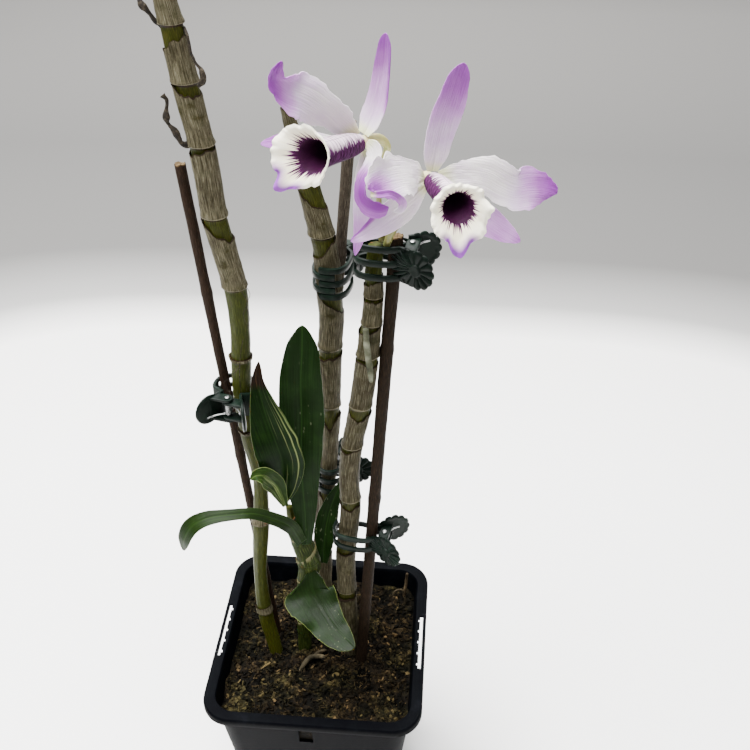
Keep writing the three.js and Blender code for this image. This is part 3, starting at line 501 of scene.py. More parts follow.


# Each cane's skin and sheaths are darkened by an amount of its own, least on the left and most on the right.
CANES = {
    "left": {
        "rows": [(-24.5, -3, 86, 3.2), (-25.3, -2, 103, 3.8), (-29.3, 0, 128, 4.1), (-30.4, 2, 160, 3.5),
                 (-28.1, 3, 190, 4.4), (-26.6, 4, 221, 3.4), (-29.6, 4, 249, 4.0), (-30.6, 4, 272, 4.3),
                 (-29.8, 4, 288, 4.6), (-28.8, 4, 306, 4.3), (-28.9, 4, 325, 4.9), (-31.1, 3, 342, 4.8),
                 (-33.5, 2, 358, 4.9), (-34.8, 0, 387, 4.7), (-38.2, 0, 411, 4.7), (-40.7, 0, 432, 4.3),
                 (-43.3, 0, 449, 3.2)],
        "joints": (133, 195.5, 252, 292, 328, 360.5, 390, 413, 433),
        "fresh": (0.3, 0.8, 1, 1, 0.95, 0.3, 0.2, 0.1, 0, 0),
        "tears": ((6.3, 4.2, 180, 0), (2.4, 1.2, 0, 0), (3.2, 2, 180, 0), (6.4, 3, 0, 0), (0.6, 0.4, 0, 0)),
        "frills": (4, 5, 0.8, 1), "worn": 0.03, "seed": 3},
    "middle": {
        "rows": [(-1.5, 13, 86, 3.4), (-1, 14, 103, 3.6), (0, 16, 140, 3.8), (1.8, 18, 183, 3.6),
                 (3.9, 19.5, 212, 3.5), (5, 20, 225, 3.5), (6.1, 21, 252, 4.2), (6.2, 21.5, 268, 4.8),
                 (6.4, 22, 284, 5.2), (7.6, 22, 303, 5.3), (7.2, 22, 317, 5.4), (6.2, 22, 332, 5.1),
                 (4.7, 22, 342, 5.2), (0, 22, 366, 4.6), (-2.4, 21, 379, 3.7), (-6.2, 20, 394, 2.2),
                 (-7.6, 20, 400, 1.4)],
        "joints": (125, 165, 205, 255.7, 288, 317.8, 343.5, 368),
        "fresh": (0.1, 0.1, 0.1, 0.2, 0.2, 0.2, 0.1, 0.1, 0),
        "tears": ((6, 2, 0, 0), (6, 2, 180, 3), (6, 1, 0, 7), (4.3, 0.9, 0, 0), (6.5, 5, 180, 0),
                  (6, 3.7, 0, 1.5), (9.3, 4.2, 180, 0), (4, 2, 0, 0)),
        "frills": (), "worn": 0.055, "seed": 11},
    "right": {
        "rows": [(14.5, 2, 86, 3.7), (15, 2, 103, 4.2), (13.8, 2, 145, 4.6), (13.6, 2, 176, 4.6),
                 (15.1, 1.5, 192, 4.6), (16.6, 1.5, 211, 4.6), (16.2, 1.5, 230, 4.5), (17.6, 1.5, 246, 4.6),
                 (21.2, 1.5, 267, 4.8), (24.4, 1, 292, 4.8), (26.2, 1, 310, 4.3), (27.5, 1, 324, 3.7),
                 (27.6, 1.5, 339, 3.7), (28.6, 1.5, 350, 3.4)],
        "joints": (152, 186, 216.2, 249, 271.8, 299, 315, 328),
        "fresh": (0.1, 0.1, 0.1, 0.1, 0.1, 0.2, 0, 0.3, 0.8),
        "tears": ((4.5, 1, 0, 1), (3.6, 1, 0, 2), (1.6, 0.5, 0, 0), (3.2, 0.6, 180, 4), (3, 0.8, 180, 0),
                  (2.6, 2, 0, 0), (1.5, 0.5, 0, 0), (17, 1.5, 0, 0)),
        "frills": (), "worn": 0.075, "seed": 23},
}
CANE_SIDES = 40
CANE_TURN = circle(CANE_SIDES)


def cane_rings(form, levels, grow):
    """Points round a cane, from a height and an extra radius for each point, ring by ring."""
    rows = np.array(form["rows"], float)
    z = np.clip(levels.ravel(), rows[0, 2], rows[-1, 2])
    i = np.clip(np.searchsorted(rows[:, 2], z, side="right") - 1, 0, len(rows) - 2)
    share = (z - rows[i, 2]) / (rows[i + 1, 2] - rows[i, 2])
    middle = smooth_line(rows[:, :3], (i + share) / (len(rows) - 1))
    swell = np.max([np.exp(-((z - j) / 1.5) ** 2) for j in form["joints"]], axis=0)
    radius = (rows[i, 3] + (rows[i + 1, 3] - rows[i, 3]) * share) * (1 + 0.07 * swell) + grow.ravel()
    a = np.tile(CANE_TURN, len(z) // CANE_SIDES)
    return np.stack([middle[:, 0] + np.cos(a) * radius, middle[:, 1] + np.sin(a) * radius, levels.ravel()], 1)


def bare_cane(form, slim=0.3):
    """The stem under the sheaths: shallow ribs, a fine bark and a groove over each joint."""
    joints, bottom, top = np.array(form["joints"], float), form["rows"][0][2], form["rows"][-1][2]
    z = np.sort(np.concatenate([np.arange(bottom, top), joints - 0.5, joints, joints + 0.5, [top]]))
    levels = np.repeat(z, CANE_SIDES)
    a = np.tile(CANE_TURN, len(z))
    near = np.min([abs(levels - j) for j in joints], axis=0)
    ridges = 0.10 * np.cos(9 * a + form["seed"]) * np.minimum(near / 6, 1)
    bark = 0.10 * grain(np.stack([np.cos(a) * 3, np.sin(a) * 3, levels * 0.3], 1), 1.2, form["seed"])
    groove = -0.5 * np.exp(-((near - 1.3) / 0.5) ** 2) + 0.25 * np.exp(-(near / 0.7) ** 2)
    order = np.searchsorted(joints, levels)
    return cane_rings(form, levels, ridges + bark + groove - slim), loft_faces(len(z), CANE_SIDES), {
        "below": np.append(joints, top + 30)[order] - levels,
        "above": levels - np.append(bottom - 30, joints)[order],
        "turn": a, "tall": levels, "fresh": np.array(form["fresh"])[order], "worn": form["worn"] + 0 * a}


def sleeve(outer, inner, **marks):
    """A thin sleeve, open at both ends, from rows of points of its outer and inner skin."""
    rows, sides = outer.shape[:2]
    marks = {name: np.concatenate([v, v[::-1]]).ravel() for name, v in marks.items()}
    points = np.concatenate([outer, inner[::-1]]).reshape(-1, 3)
    return points, loft_faces(2 * rows, sides, closed=True), marks


def sheath(form, low, high, lift=0.18, flare=0.22, slant=2.5, toward=0, vee=0, ragged=1.1, seed=0, rows=26):
    """A papery sleeve round a cane. Its torn upper edge is highest toward an angle, with a vee in front."""
    v = np.linspace(0, 1, rows)[:, None]
    around = np.stack([np.cos(CANE_TURN) * 4, np.sin(CANE_TURN) * 4], 1)
    edge = high + slant * np.cos(CANE_TURN - math.radians(toward))
    edge = edge - vee * np.clip(1 - abs(CANE_TURN - 1.5 * math.pi) / 0.9, 0, 1)
    edge = edge + ragged * (grain(around, 2.2, seed) + 0.6 * grain(around, 0.7, seed + 1))
    levels = low + v * (edge - low)
    place = np.column_stack([np.tile(around, (rows, 1)), levels.ravel() * 0.22])
    folds = (0.16 * grain(place, 0.9, seed + 2) + 0.1 * grain(place, 0.4, seed + 3)).reshape(levels.shape)
    opening = flare * v ** 6 * (1 + 1.5 * grain(around, 2.4, seed + 4))
    grow = lift + folds + opening + 0.05 * np.exp(-(v / 0.03) ** 2)
    skins = [cane_rings(form, levels, grow - thick).reshape(rows, CANE_SIDES, 3) for thick in (0, 0.22)]
    flat = 0 * levels
    return sleeve(*skins, reach=v + flat, turn=CANE_TURN + flat, tall=levels, worn=form["worn"] + flat)


def fibres(add, across, along, **look):
    """Noise drawn out along a piece, from two marks at its points and how fast it changes with each."""
    across, along = (add("Math", *way, operation="MULTIPLY") for way in (across, along))
    return add("TexNoise", add("CombineXYZ", X=across, Y=along), **look)


# The living skin: waxy, finely ribbed, with a brown scar at each joint.
cane_skin, add = new_finish("cane_skin")
fibre = fibres(add, ("turn", 6.0), ("tall", 0.09), Scale=2.4, Detail=6.0, Roughness=0.65)
blotch = add("TexNoise", "place", Scale=150.0, Detail=5.0)
# The cane's own darkening amount shifts the fibre tone toward the darker stops.
darkened_fibre = add("Math", fibre, "worn", operation="SUBTRACT")
old_tone = add("ValToRGB", darkened_fibre, stops=[(0.3, "#191a05"), (0.5, "#303107"), (0.68, "#474810"),
    (0.84, "#65622b")])
fresh_tone = add("ValToRGB", fibre, stops=[(0.3, "#1b2106"), (0.5, "#2b3009"), (0.75, "#484c16")])
living = add("Mix", "fresh", old_tone, fresh_tone)
over_joint = add("Math", blotch, -1.3, "above", operation="MULTIPLY_ADD")
under_joint = add("Math", blotch, -1.3, "below", operation="MULTIPLY_ADD")
nearest = add("Math", over_joint, under_joint, operation="MINIMUM")
scar_tone = add("ValToRGB", fibre, stops=[(0.35, "#0c0704"), (0.55, "#22160b"), (0.8, "#4b3720")])
tone = laid(add, living, scar_tone, nearest, 0.75, 0.25)
coat(add, tone, (fibre, 0.38, 0.62), (fibre, 0.35, 0.0004), IOR=1.45, Specular_IOR_Level=0.1,
     Subsurface_Weight=0.08, Subsurface_Scale=0.002)

# Dry sheath: silver-grey skin over olive, brown at the torn edge, with fine lengthwise fibres.
dry_sheath, add = new_finish("dry_papery_sheath")
fibre = fibres(add, ("turn", 6.0), ("tall", 0.055), Scale=2.2, Detail=8.0, Roughness=0.7)
blotch = add("TexNoise", "place", Scale=110.0, Detail=6.0, Roughness=0.65)
speck = add("TexNoise", "place", Scale=900.0, Detail=3.0, Roughness=0.8)
weathered = add("Mix", 0.3, fibre, blotch, data_type="FLOAT")
# The cane's own darkening amount shifts the sheath tone toward the darker stops.
weathered = add("Math", weathered, "worn", operation="SUBTRACT")
paper = add("ValToRGB", weathered, stops=[(0.28, "#171309"), (0.38, "#2b2719"), (0.47, "#4a4534"),
    (0.56, "#6f6a56"), (0.68, "#969180")])
olive = add("ValToRGB", weathered, stops=[(0.3, "#131309"), (0.5, "#2b2915"), (0.7, "#514b30")])
tone = laid(add, paper, olive, blotch, 0.5, 0.66)
tone = laid(add, tone, "#2b2417", speck, 0.62, 0.7)
edge = add("Math", blotch, 0.12, "reach", operation="MULTIPLY_ADD")
tone = laid(add, tone, "#1c130a", edge, 1.022, 1.045)
tone = laid(add, tone, "#8d866c", edge, 0.08, 0.07, 0.35)
coat(add, tone, (fibre, 0.72, 0.5), (fibre, 0.5, 0.0005), IOR=1.45, Specular_IOR_Level=0.08)

for name, form in CANES.items():
    make_piece(f"cane_{name}_core", bare_cane(form), cane_skin, "root", f"cane_{name}", "cane")
    joints, seed = form["joints"], form["seed"]
    ends = [*joints[1:], form["rows"][-1][2] + 2]
    sleeves = []
    for k, (gap, slant, toward, vee) in enumerate(form["tears"], len(joints) - len(form["tears"])):
        sleeves.append(sheath(form, joints[k] - 0.2, ends[k] - gap, slant=slant, toward=toward, vee=vee,
                              seed=seed + k))
    for k, tall in enumerate(form["frills"]):
        sleeves.append(sheath(form, joints[k] - 0.2, joints[k] + tall, lift=0.1, flare=0.35,
                              slant=0.15 * tall, ragged=0.5, seed=seed + 40 + k, rows=10))
    if not form["frills"]:
        sleeves.append(sheath(form, 99, joints[0] - 4, slant=0.8, seed=seed + 30))
    make_piece(f"cane_{name}_sheaths", joined(sleeves), dry_sheath, "root", f"cane_{name}", "cane")

# Dry flower stubs and hair-like torn threads on the left cane.
DRY_STUBS = (
    (((-43, 0, 431), (-45.6, -1.4, 433.4), (-47.8, -2, 437), (-50.1, -2, 440.2), (-50.5, -2, 443)),
     (1.4, 0.9, 0.7, 1.2, 0.6, 0.9)),
    (((-37.5, -1, 389.5), (-41, -3, 390.4), (-42.9, -4, 395), (-45.3, -4, 399.6), (-45, -4, 404),
      (-44.5, -4, 407), (-46, -4, 409)),
     (1.2, 1.2, 0.8, 1.3, 0.7, 1.3, 0.6, 0.5, 0.8, 1.2)),
    (((-36.6, -0.5, 431), (-34.8, -3, 428.6), (-34.2, -4, 424.6), (-32.8, -5, 421.4), (-30.8, -5, 418),
      (-30.6, -5, 415), (-32.6, -4.4, 412.6)),
     (0.8, 0.6, 0.5, 0.45, 0.6, 1.1, 1.2, 0.8)),
)
TORN_FIBRES = (
    ((-24.4, 0.5, 331), (-22, -1, 327), (-23.6, -2, 322), (-22.6, -2.5, 316), (-24.2, -2, 311)),
    ((-25.4, -0.5, 328), (-23.2, -2.6, 324), (-25, -3.2, 318), (-23.8, -2.8, 313)),
    ((-26.5, -1.5, 305), (-27.6, -4.5, 299), (-28.6, -5.6, 288), (-28.4, -6.2, 279), (-29, -6, 270)),
    ((-29, -1, 291), (-33, -4.2, 287), (-36, -4, 284), (-34.5, -4.6, 280), (-31.6, -4.4, 281)),
    ((-27, -0.6, 264), (-24.4, -2.4, 261), (-25.2, -3, 257), (-28, -2.6, 256)),
)
withered, add = new_finish("withered_stalk")
fine = add("TexNoise", "place", Scale=600.0, Detail=6.0, Roughness=0.7)
tone = add("ValToRGB", fine, stops=[(0.32, "#090705"), (0.5, "#1e1811"), (0.64, "#413a2e"),
    (0.8, "#7d7560")])
coat(add, tone, (fine, 0.7, 0.9), (fine, 0.6, 0.0004), Specular_IOR_Level=0.2)
stub_parts = []
t = np.linspace(0, 1, 50)
for line, radii in DRY_STUBS:
    path = smooth_line(line, t)
    path += 0.3 * shaken(path, 2.0, 1)
    stub_parts.append(tube(path, eased(radii, t) * (1 + 0.3 * grain(path, 1.6, 4)), 14))
t = np.linspace(0, 1, 30)
stub_parts += [tube(smooth_line(line, t), 0.13 - 0.06 * t, 6) for line in TORN_FIBRES]
make_piece("cane_left_stubs", joined(stub_parts), withered, "root", "cane_left", "cane")


# ---- Support sticks: round canes of stained bamboo or hazel, pushed into the mix. The middle one
# ---- has weathered grey, and the cut ends show pale end grain.

STICKS = {
    "left": ((-22.3, 10.5, 45), (-46.6, 8.5, 377.5), 2.3, ("#0f0a06", "#231912", "#3b2c21", "#5f4c3b")),
    "middle": ((-13.6, 21, 45), (15.9, 34, 386), 2.6, ("#17140f", "#332d25", "#595146", "#82796b")),
    "right": ((17.6, -4.9, 45), (36.4, 2.1, 354), 2.9, ("#090603", "#19120b", "#2c2116", "#4b3a28")),
}
for name, (foot, top, radius, tones) in STICKS.items():
    finish, add = new_finish(f"stick_wood_{name}")
    fibre = fibres(add, ("turn", 5.0), ("tall", 0.1), Scale=2.2, Detail=8.0, Roughness=0.72)
    wood = add("ValToRGB", fibre, stops=[(0.3, tones[0]), (0.48, tones[1]), (0.64, tones[2]),
        (0.82, tones[3])])
    end_grain = add("TexNoise", "place", Scale=1400.0, Detail=2.0)
    pale = add("ValToRGB", end_grain, stops=[(0.35, "#2e2417"), (0.65, "#6b583d")])
    tone = add("Mix", "cut_end", wood, pale)
    coat(add, tone, (fibre, 0.6, 0.85), (fibre, 0.6, 0.0005), Specular_IOR_Level=0.06)

    foot, top = np.array(foot, float), np.array(top, float)
    sides, rings = 28, 170
    a = np.tile(circle(sides), rings + 2)
    t = np.repeat(np.append(np.linspace(0, 1, rings), (1, 1)), sides)
    place = np.stack([np.cos(a) * radius, np.sin(a) * radius, t * 80], 1)
    out = radius * (0.96 + 0.05 * grain(place, 4, 1) + 0.03 * grain(place, 1.1, 2))
    out += 0.28 * np.max([np.exp(-((t - k) / 0.006) ** 2) for k in (0.31, 0.56, 0.83)], axis=0)
    out[-2 * sides:] = np.repeat((radius * 0.86, radius * 0.4), sides)
    points = foot + (top - foot) * t[:, None] + np.stack([np.cos(a) * out, np.sin(a) * out, 0 * a], 1)
    rise = 0.5 * grain(place[-sides:], 1.0, 3)
    points[-3 * sides:, 2] += np.concatenate([rise - 0.3, rise + 0.35, 0 * rise + 0.1])
    marks = {"turn": a, "tall": t * 340, "cut_end": np.arange(len(a)) >= rings * sides}
    piece = make_piece(f"stick_{name}_wood", (points, loft_faces(rings + 2, sides), marks), finish,
                       "root", f"stick_{name}", "stick")
    piece.data.set_sharp_from_angle(angle=math.radians(50))


# ---- Young shoot: a thick green stem wrapped in green leaf bases that overlap, each striped pale
# ---- along its length and dry at its edge.

SHOOT = {
    "rows": [(-10.4, 1.5, 88, 3.0), (-9.9, 1, 103, 3.4), (-7.6, -1.5, 140, 3.8), (-5.2, -3.5, 162, 4.9),
             (-3.6, -5, 176, 5.0), (-6.4, -6, 192, 4.6), (-9.6, -6.6, 206, 3.2), (-11.4, -7, 216, 1.8)],
    "joints": (118, 150, 178, 198), "fresh": (1, 1, 1, 1, 1), "worn": 0, "seed": 31}
leaf_base, add = new_finish("green_leaf_base")
fibre = fibres(add, ("turn", 5.0), ("tall", 0.06), Scale=2.6, Detail=5.0, Roughness=0.6)
tone = add("ValToRGB", fibre, stops=[(0.34, "#0f1505"), (0.5, "#20290c"), (0.62, "#363f18"),
    (0.76, "#5d6238")])
edge = add("Math", fibre, 0.16, "reach", operation="MULTIPLY_ADD")
tone = laid(add, tone, "#5f5c40", edge, 1.0, 1.06)
coat(add, tone, (fibre, 0.4, 0.6), (fibre, 0.3, 0.0004), IOR=1.42, Specular_IOR_Level=0.06,
     Subsurface_Weight=0.1, Subsurface_Scale=0.002)
make_piece("shoot_core", bare_cane(SHOOT, slim=0.4), cane_skin, "root", "shoot_stem", "green_stem")
WRAPS = ((101, 131), (119, 150), (139, 168), (151, 184), (179, 199), (196, 209))
leaf_bases = [sheath(SHOOT, low, high, lift=0.1 + 0.12 * k, flare=0.3, slant=4.5, ragged=0.25,
                     seed=60 + k, rows=34) for k, (low, high) in enumerate(WRAPS)]
make_piece("shoot_leaf_bases", joined(leaf_bases), leaf_base, "root", "shoot_stem", "green_stem")


# ---- Leaves of the young shoot: thin, stiff, folded along a pale midrib, with fine parallel veins.
# ---- The older ones are dusty and one tip has dried brown; the front one is young and bright.

def blade(spine, half, face, bend=0, fold=0, wave=0, waves=3, rows=64, cols=18, seed=0, ruffle=0.25,
          round_from=0.93, rib=0.0, bulge=0.0, rib_at=0.0, frill=0.03, heel=0.0, peak=0.0):
    """A leaf or petal round a spine, half its width wide to each side, its upper side turned to face."""
    s = np.linspace(0, 1, rows + 1)
    s = s - 0.25 / math.pi * np.sin(2 * math.pi * s)
    middle = smooth_line(spine, s)
    ahead = unit(smooth_line(spine, np.minimum(s + 2e-3, 1)) - smooth_line(spine, np.maximum(s - 2e-3, 0)))
    looks = eased(face, s) if np.ndim(face) > 1 else np.array([face] * (rows + 1), float)
    up = unit(looks - ahead * np.sum(looks * ahead, 1)[:, None])
    side = np.cross(ahead, up)
    t = s[:, None]
    width = np.maximum(eased(half, s), 0.4)[:, None] * rounded(t, round_from, 1.0005 - round_from, 0.0009)
    u = np.sin(np.linspace(-1, 1, cols + 1) * math.pi / 2 * 0.98) / math.sin(math.pi / 2 * 0.98)

    def rough(size, seed, across=u * 8):
        """Smooth random numbers over the sheet."""
        place = np.stack(np.meshgrid(s * 40, across, indexing="ij"), -1).reshape(-1, 2)
        return grain(place, size, seed).reshape(rows + 1, cols + 1)

    if bend:
        out = np.sin(u * math.radians(bend)) / math.radians(bend) * width
        lift = (1 - np.cos(u * math.radians(bend))) / math.radians(bend) * width
    else:
        from_rib = (u - rib_at) / (1 + np.where(u > rib_at, -rib_at, rib_at))
        out = u * math.cos(math.radians(fold)) * width
        lift = (np.sqrt(from_rib ** 2 + 0.012) - math.sqrt(0.012)) * math.sin(math.radians(fold)) * width
    belly = np.sin(math.pi * t)
    lift = lift + wave * u * u * np.sin(t * waves * 2 * math.pi + np.where(u > 0, 0, 1.9)) * belly
    lift = lift + ruffle * u ** 2 * rough(5, seed + 1) * belly ** 0.5
    lift = lift - rib * np.exp(-((u - rib_at) / 0.07) ** 2) * (1 - t) ** 0.4
    lift = lift + bulge * rough(2.2, seed + 2) * np.minimum(1, 4 * (1 - abs(u)))
    torn = rough(2.6, seed, np.sign(u) * 30) + 0.6 * rough(1.1, seed + 3, np.sign(u) * 30)
    out = out * (1 + frill * torn * abs(u) ** 3)
    slope = np.where(u > peak, (u - peak) / (1 - peak), 0.5 * (peak - u) / (1 + peak)) ** 0.9
    drop = heel * slope * np.clip(1 - t / 0.34, 0, 1) ** 1.5
    sheet = middle[:, None] + side[:, None] * out[..., None] + up[:, None] * lift[..., None]
    sheet = sheet + ahead[:, None] * drop[..., None]
    normal = unit(np.cross(np.gradient(sheet, axis=1), np.gradient(sheet, axis=0)))
    depth = np.maximum(0.7 * (1 - 0.62 * abs(u) ** 3) * np.minimum(1, 0.45 + 6 * (1 - t)), 0.16)
    keel = 0.5 * rib * np.exp(-((u - rib_at) / 0.12) ** 2) * (1 - t) ** 0.5
    upper = sheet + normal * (depth / 2)[..., None]
    lower = sheet - normal * (depth / 2 + keel)[..., None]
    spot = np.arange((rows + 1) * (cols + 1)).reshape(rows + 1, cols + 1)
    top = np.stack([spot[:-1, :-1], spot[:-1, 1:], spot[1:, 1:], spot[1:, :-1]], -1).reshape(-1, 4)
    rim = np.concatenate([spot[0, :-1], spot[:-1, -1], spot[-1, :0:-1], spot[:0:-1, 0]])
    after = np.roll(rim, -1)
    faces = np.concatenate([top, top[:, ::-1] + spot.size,
                            np.stack([rim, rim + spot.size, after + spot.size, after], 1)])
    marks = {"along": t + 0 * out, "across": u + 0 * out, "off_rib": (u - rib_at) * width}
    marks = {name: np.tile(v.ravel(), 2) for name, v in marks.items()}
    marks["side"] = np.repeat((1, 0), spot.size)
    return np.concatenate([upper.reshape(-1, 3), lower.reshape(-1, 3)]), faces.tolist(), marks


def leaf_finish(name, tones, vein, margin, back, dusty=0.3, gloss=0.38, dried=None, stripe=None, shine=0.05):
    """Leaf skin: tones from dark to light, pale midrib and veins, a margin, dust, maybe a dry tip."""
    finish, add = new_finish(name)
    veins = fibres(add, ("off_rib", 1.0), ("along", 2.0), Scale=1.5, Detail=4.0, Roughness=0.55)
    cells = add("TexNoise", "place", Scale=110.0, Detail=6.0, Roughness=0.6)
    mixed = add("Mix", 0.45, veins, cells, data_type="FLOAT")
    tone = add("ValToRGB", mixed, stops=[(0.34, tones[0]), (0.5, tones[1]), (0.66, tones[2])])
    if stripe:
        strands = fibres(add, ("across", 5.5), ("along", 1.0), Scale=1.3, Detail=1.5, Roughness=0.4)
        lines = add("MapRange", strands, From_Min=0.57, From_Max=0.63, To_Max=0.7)
        low = add("MapRange", "across", From_Min=stripe[0] - 0.2, From_Max=stripe[0])
        high = add("MapRange", "across", From_Min=stripe[1] + 0.2, From_Max=stripe[1])
        band = add("Math", low, high, operation="MULTIPLY")
        lit = add("Math", lines, band, operation="MULTIPLY")
        fading = add("MapRange", "along", From_Min=0.85, From_Max=0.5)
        lit = add("Math", lit, fading, operation="MULTIPLY")
        tone = add("Mix", lit, tone, "#76804f")
    aside = add("Math", "off_rib", operation="ABSOLUTE")
    tone = laid(add, tone, vein, aside, 0.5, 0.1, 0.7)
    out = add("Math", "across", operation="ABSOLUTE")
    tone = laid(add, tone, margin, out, 0.975, 0.995)
    under = add("Mix", "side", back, tone)
    drawn = add("VectorMath", "place", (1, 1, 0.4), operation="MULTIPLY")
    specks = add("TexVoronoi", drawn, Scale=480.0)
    grime = add("TexNoise", "place", Scale=45.0, Detail=3.0)
    spot = add("MapRange", specks, From_Min=0.2, From_Max=0.1)
    where = add("MapRange", grime, From_Min=0.46, From_Max=0.66, To_Max=dusty)
    dust = add("Math", spot, where, operation="MULTIPLY")
    tone = add("Mix", dust, under, "#5f644c")
    if dried:
        end = add("Math", cells, 0.16, "along", operation="MULTIPLY_ADD")
        husk = add("ValToRGB", veins, stops=[(0.35, "#080503"), (0.55, "#1c120a"), (0.75, "#4d3722")])
        tone = laid(add, tone, husk, end, dried, dried + 0.05)
    coat(add, tone, (cells, gloss - 0.08, gloss + 0.14), (veins, 0.35, 0.0004), IOR=1.42,
         Specular_IOR_Level=shine, Subsurface_Weight=0.04, Subsurface_Scale=0.0015)
    return finish


old_leaf = leaf_finish(
    "old_leaf_skin", ("#081603", "#0d1e06", "#15290b"), "#1c3410", "#1b2e0f", "#1c2d0e", dusty=0.5)
folded_leaf = leaf_finish(
    "folded_leaf_skin", ("#041002", "#081903", "#112507"), "#162a0b", "#3f4d26", "#16270b",
    dusty=0.2, gloss=0.3, dried=0.86, stripe=(0.3, 0.95), shine=0.03)
striped_leaf = leaf_finish(
    "striped_leaf_skin", ("#0f1b05", "#18280a", "#2b3e17"), "#435327", "#6c7848", "#22330e",
    dusty=0.2, stripe=(-0.7, 0.3))
strap_leaf = leaf_finish(
    "strap_leaf_skin", ("#0b1604", "#122007", "#1c2e0d"), "#1d300e", "#2e3f1a", "#1f300f",
    dusty=0.2, shine=0.08)
young_leaf = leaf_finish(
    "young_leaf_skin", ("#091303", "#0e1a06", "#15260c"), "#0e1905", "#5a6632", "#1a280b",
    dusty=0.5, gloss=0.3, shine=0.08)

LEAVES = {
    "leaf_tall": (old_leaf, dict(
        spine=((-3.2, -11.4, 196), (-3.2, -10.6, 213), (-4, -8.6, 233), (-4, -7.6, 248), (-3, -7, 267),
               (-2.5, -6, 289), (-1.5, -5, 303), (-1, -4, 315)),
        half=(2.2, 4.8, 7.6, 9.2, 9.9, 9, 7.2, 4), face=(0.1, -1, 0.25), fold=10, wave=0.5, rib=0.3,
        round_from=0.86)),
    "leaf_folded": (folded_leaf, dict(
        spine=((-13.2, -10.2, 221), (-11.4, -14.8, 237), (-10.6, -17.2, 252), (-12, -19, 263),
               (-14.5, -19, 274), (-17, -19, 287.5), (-18, -18.5, 297), (-17, -18, 306)),
        half=(1.6, 7, 10.2, 10.6, 9.4, 5.6, 2.8, 0.9), face=(0.25, -1, 0.2), fold=26, rib=0.3)),
    "leaf_curled": (striped_leaf, dict(
        spine=((-11.9, -11.8, 221), (-12.3, -17.4, 232.4), (-13.1, -22, 242.7), (-15.1, -25.6, 249.4),
               (-17.5, -27.6, 253.4), (-20, -28.6, 254), (-22.5, -29, 252)),
        half=(1.4, 2.8, 4.2, 4.7, 4, 2.5, 0.6), face=(0.1, -0.7, 0.7), bend=40, rib=0.2)),
    "leaf_strap": (strap_leaf, dict(
        spine=((-5.2, -13.4, 199), (-9.1, -17.4, 213.2), (-15.8, -20.6, 220.8), (-23.9, -23.4, 226.1),
               (-33.2, -26, 227.3), (-43.7, -28, 226.3), (-50.5, -29.4, 222.8), (-55, -30, 215.1),
               (-57, -30, 207.7)),
        half=(2.6, 3.2, 3, 2.6, 2.7, 3.4, 4.2, 4.2, 3),
        face=((0.1, -0.6, 0.8), (0, -0.7, 0.7), (-0.1, -0.5, 0.9), (-0.4, -0.6, 0.6), (-0.7, -0.7, 0.3)),
        bend=14, rows=80, rib=0.25, round_from=0.9)),
    "leaf_front": (young_leaf, dict(
        spine=((-5, -8.6, 178), (-3.5, -14.2, 166), (0.6, -18.6, 161.9), (5, -23.6, 159.2),
               (9.6, -28.6, 156.8), (15.1, -33.4, 155.6), (21.4, -38, 155.1)),
        half=(8, 12.5, 11.9, 9.6, 8.1, 6.2, 3), face=(0.05, -0.55, 0.85), fold=8, wave=0.8, rib=0.3,
        cols=26, rib_at=-0.12, heel=14, peak=-0.4, round_from=0.88)),
    "leaf_rear": (old_leaf, dict(
        spine=((2.4, 2.2, 169), (2.6, 4.6, 179), (3.4, 6.6, 188), (5.5, 9, 199), (9, 10.5, 210),
               (12, 11.5, 217)),
        half=(2, 4.2, 5.8, 4.8, 2.6, 0.8), face=(-0.1, -0.9, 0.4), fold=12, rib=0.25)),
}
for k, (name, (finish, form)) in enumerate(LEAVES.items()):
    make_piece(f"{name}_blade", blade(seed=70 + 5 * k, **form), finish, "root", name, "leaf")


# ---- Flowers: two, each with three sepals and two petals of white waxy tissue flushed purple at
# ---- the tips, a lip rolled into a tube with a maroon throat, and a short column inside it.

waxy_tepal, add = new_finish("waxy_white_tepal")
veins = fibres(add, ("off_rib", 1.0), ("along", 1.6), Scale=2.2, Detail=3.0, Roughness=0.5)
cloud = add("TexNoise", "place", Scale=130.0, Detail=4.0)
crystal = add("TexNoise", "place", Scale=2400.0, Detail=2.0)
wander = add("MapRange", cloud, To_Min=-0.22, To_Max=0.22)
lines = add("MapRange", veins, To_Min=-0.15, To_Max=0.15)
amount = add("Math", "blush", wander, operation="ADD")
amount = add("Math", amount, lines, operation="ADD")
# The white is dimmed to a grey-lilac: a faint real lilac tint, and painted shade for tepals that face away
# from the light.
tone = add("ValToRGB", amount, stops=[(0.0, "#d0cac8"), (0.24, "#c0aec3"), (0.48, "#ad7fb4"),
    (0.74, "#8f4e9a"), (1.0, "#782a88")])
tone = add("Mix", "green_base", tone, "#c9cf92")
bump = add("Bump", Height=veins, Strength=0.6, Distance=0.0007)
bump = add("Bump", Height=crystal, Strength=0.18, Distance=0.0002, Normal=bump)
coat(add, tone, 0.5, Normal=bump, IOR=1.4, Specular_IOR_Level=0.3, Subsurface_Weight=0.22,
     Subsurface_Scale=0.003, Subsurface_Radius=(0.6, 0.45, 0.65), Sheen_Weight=0.1)


def step(low, high, x):
    """From 0 at low to 1 at high, without kinks."""
    s = np.clip((x - low) / (high - low), 0, 1)
    return s * s * (3 - 2 * s)


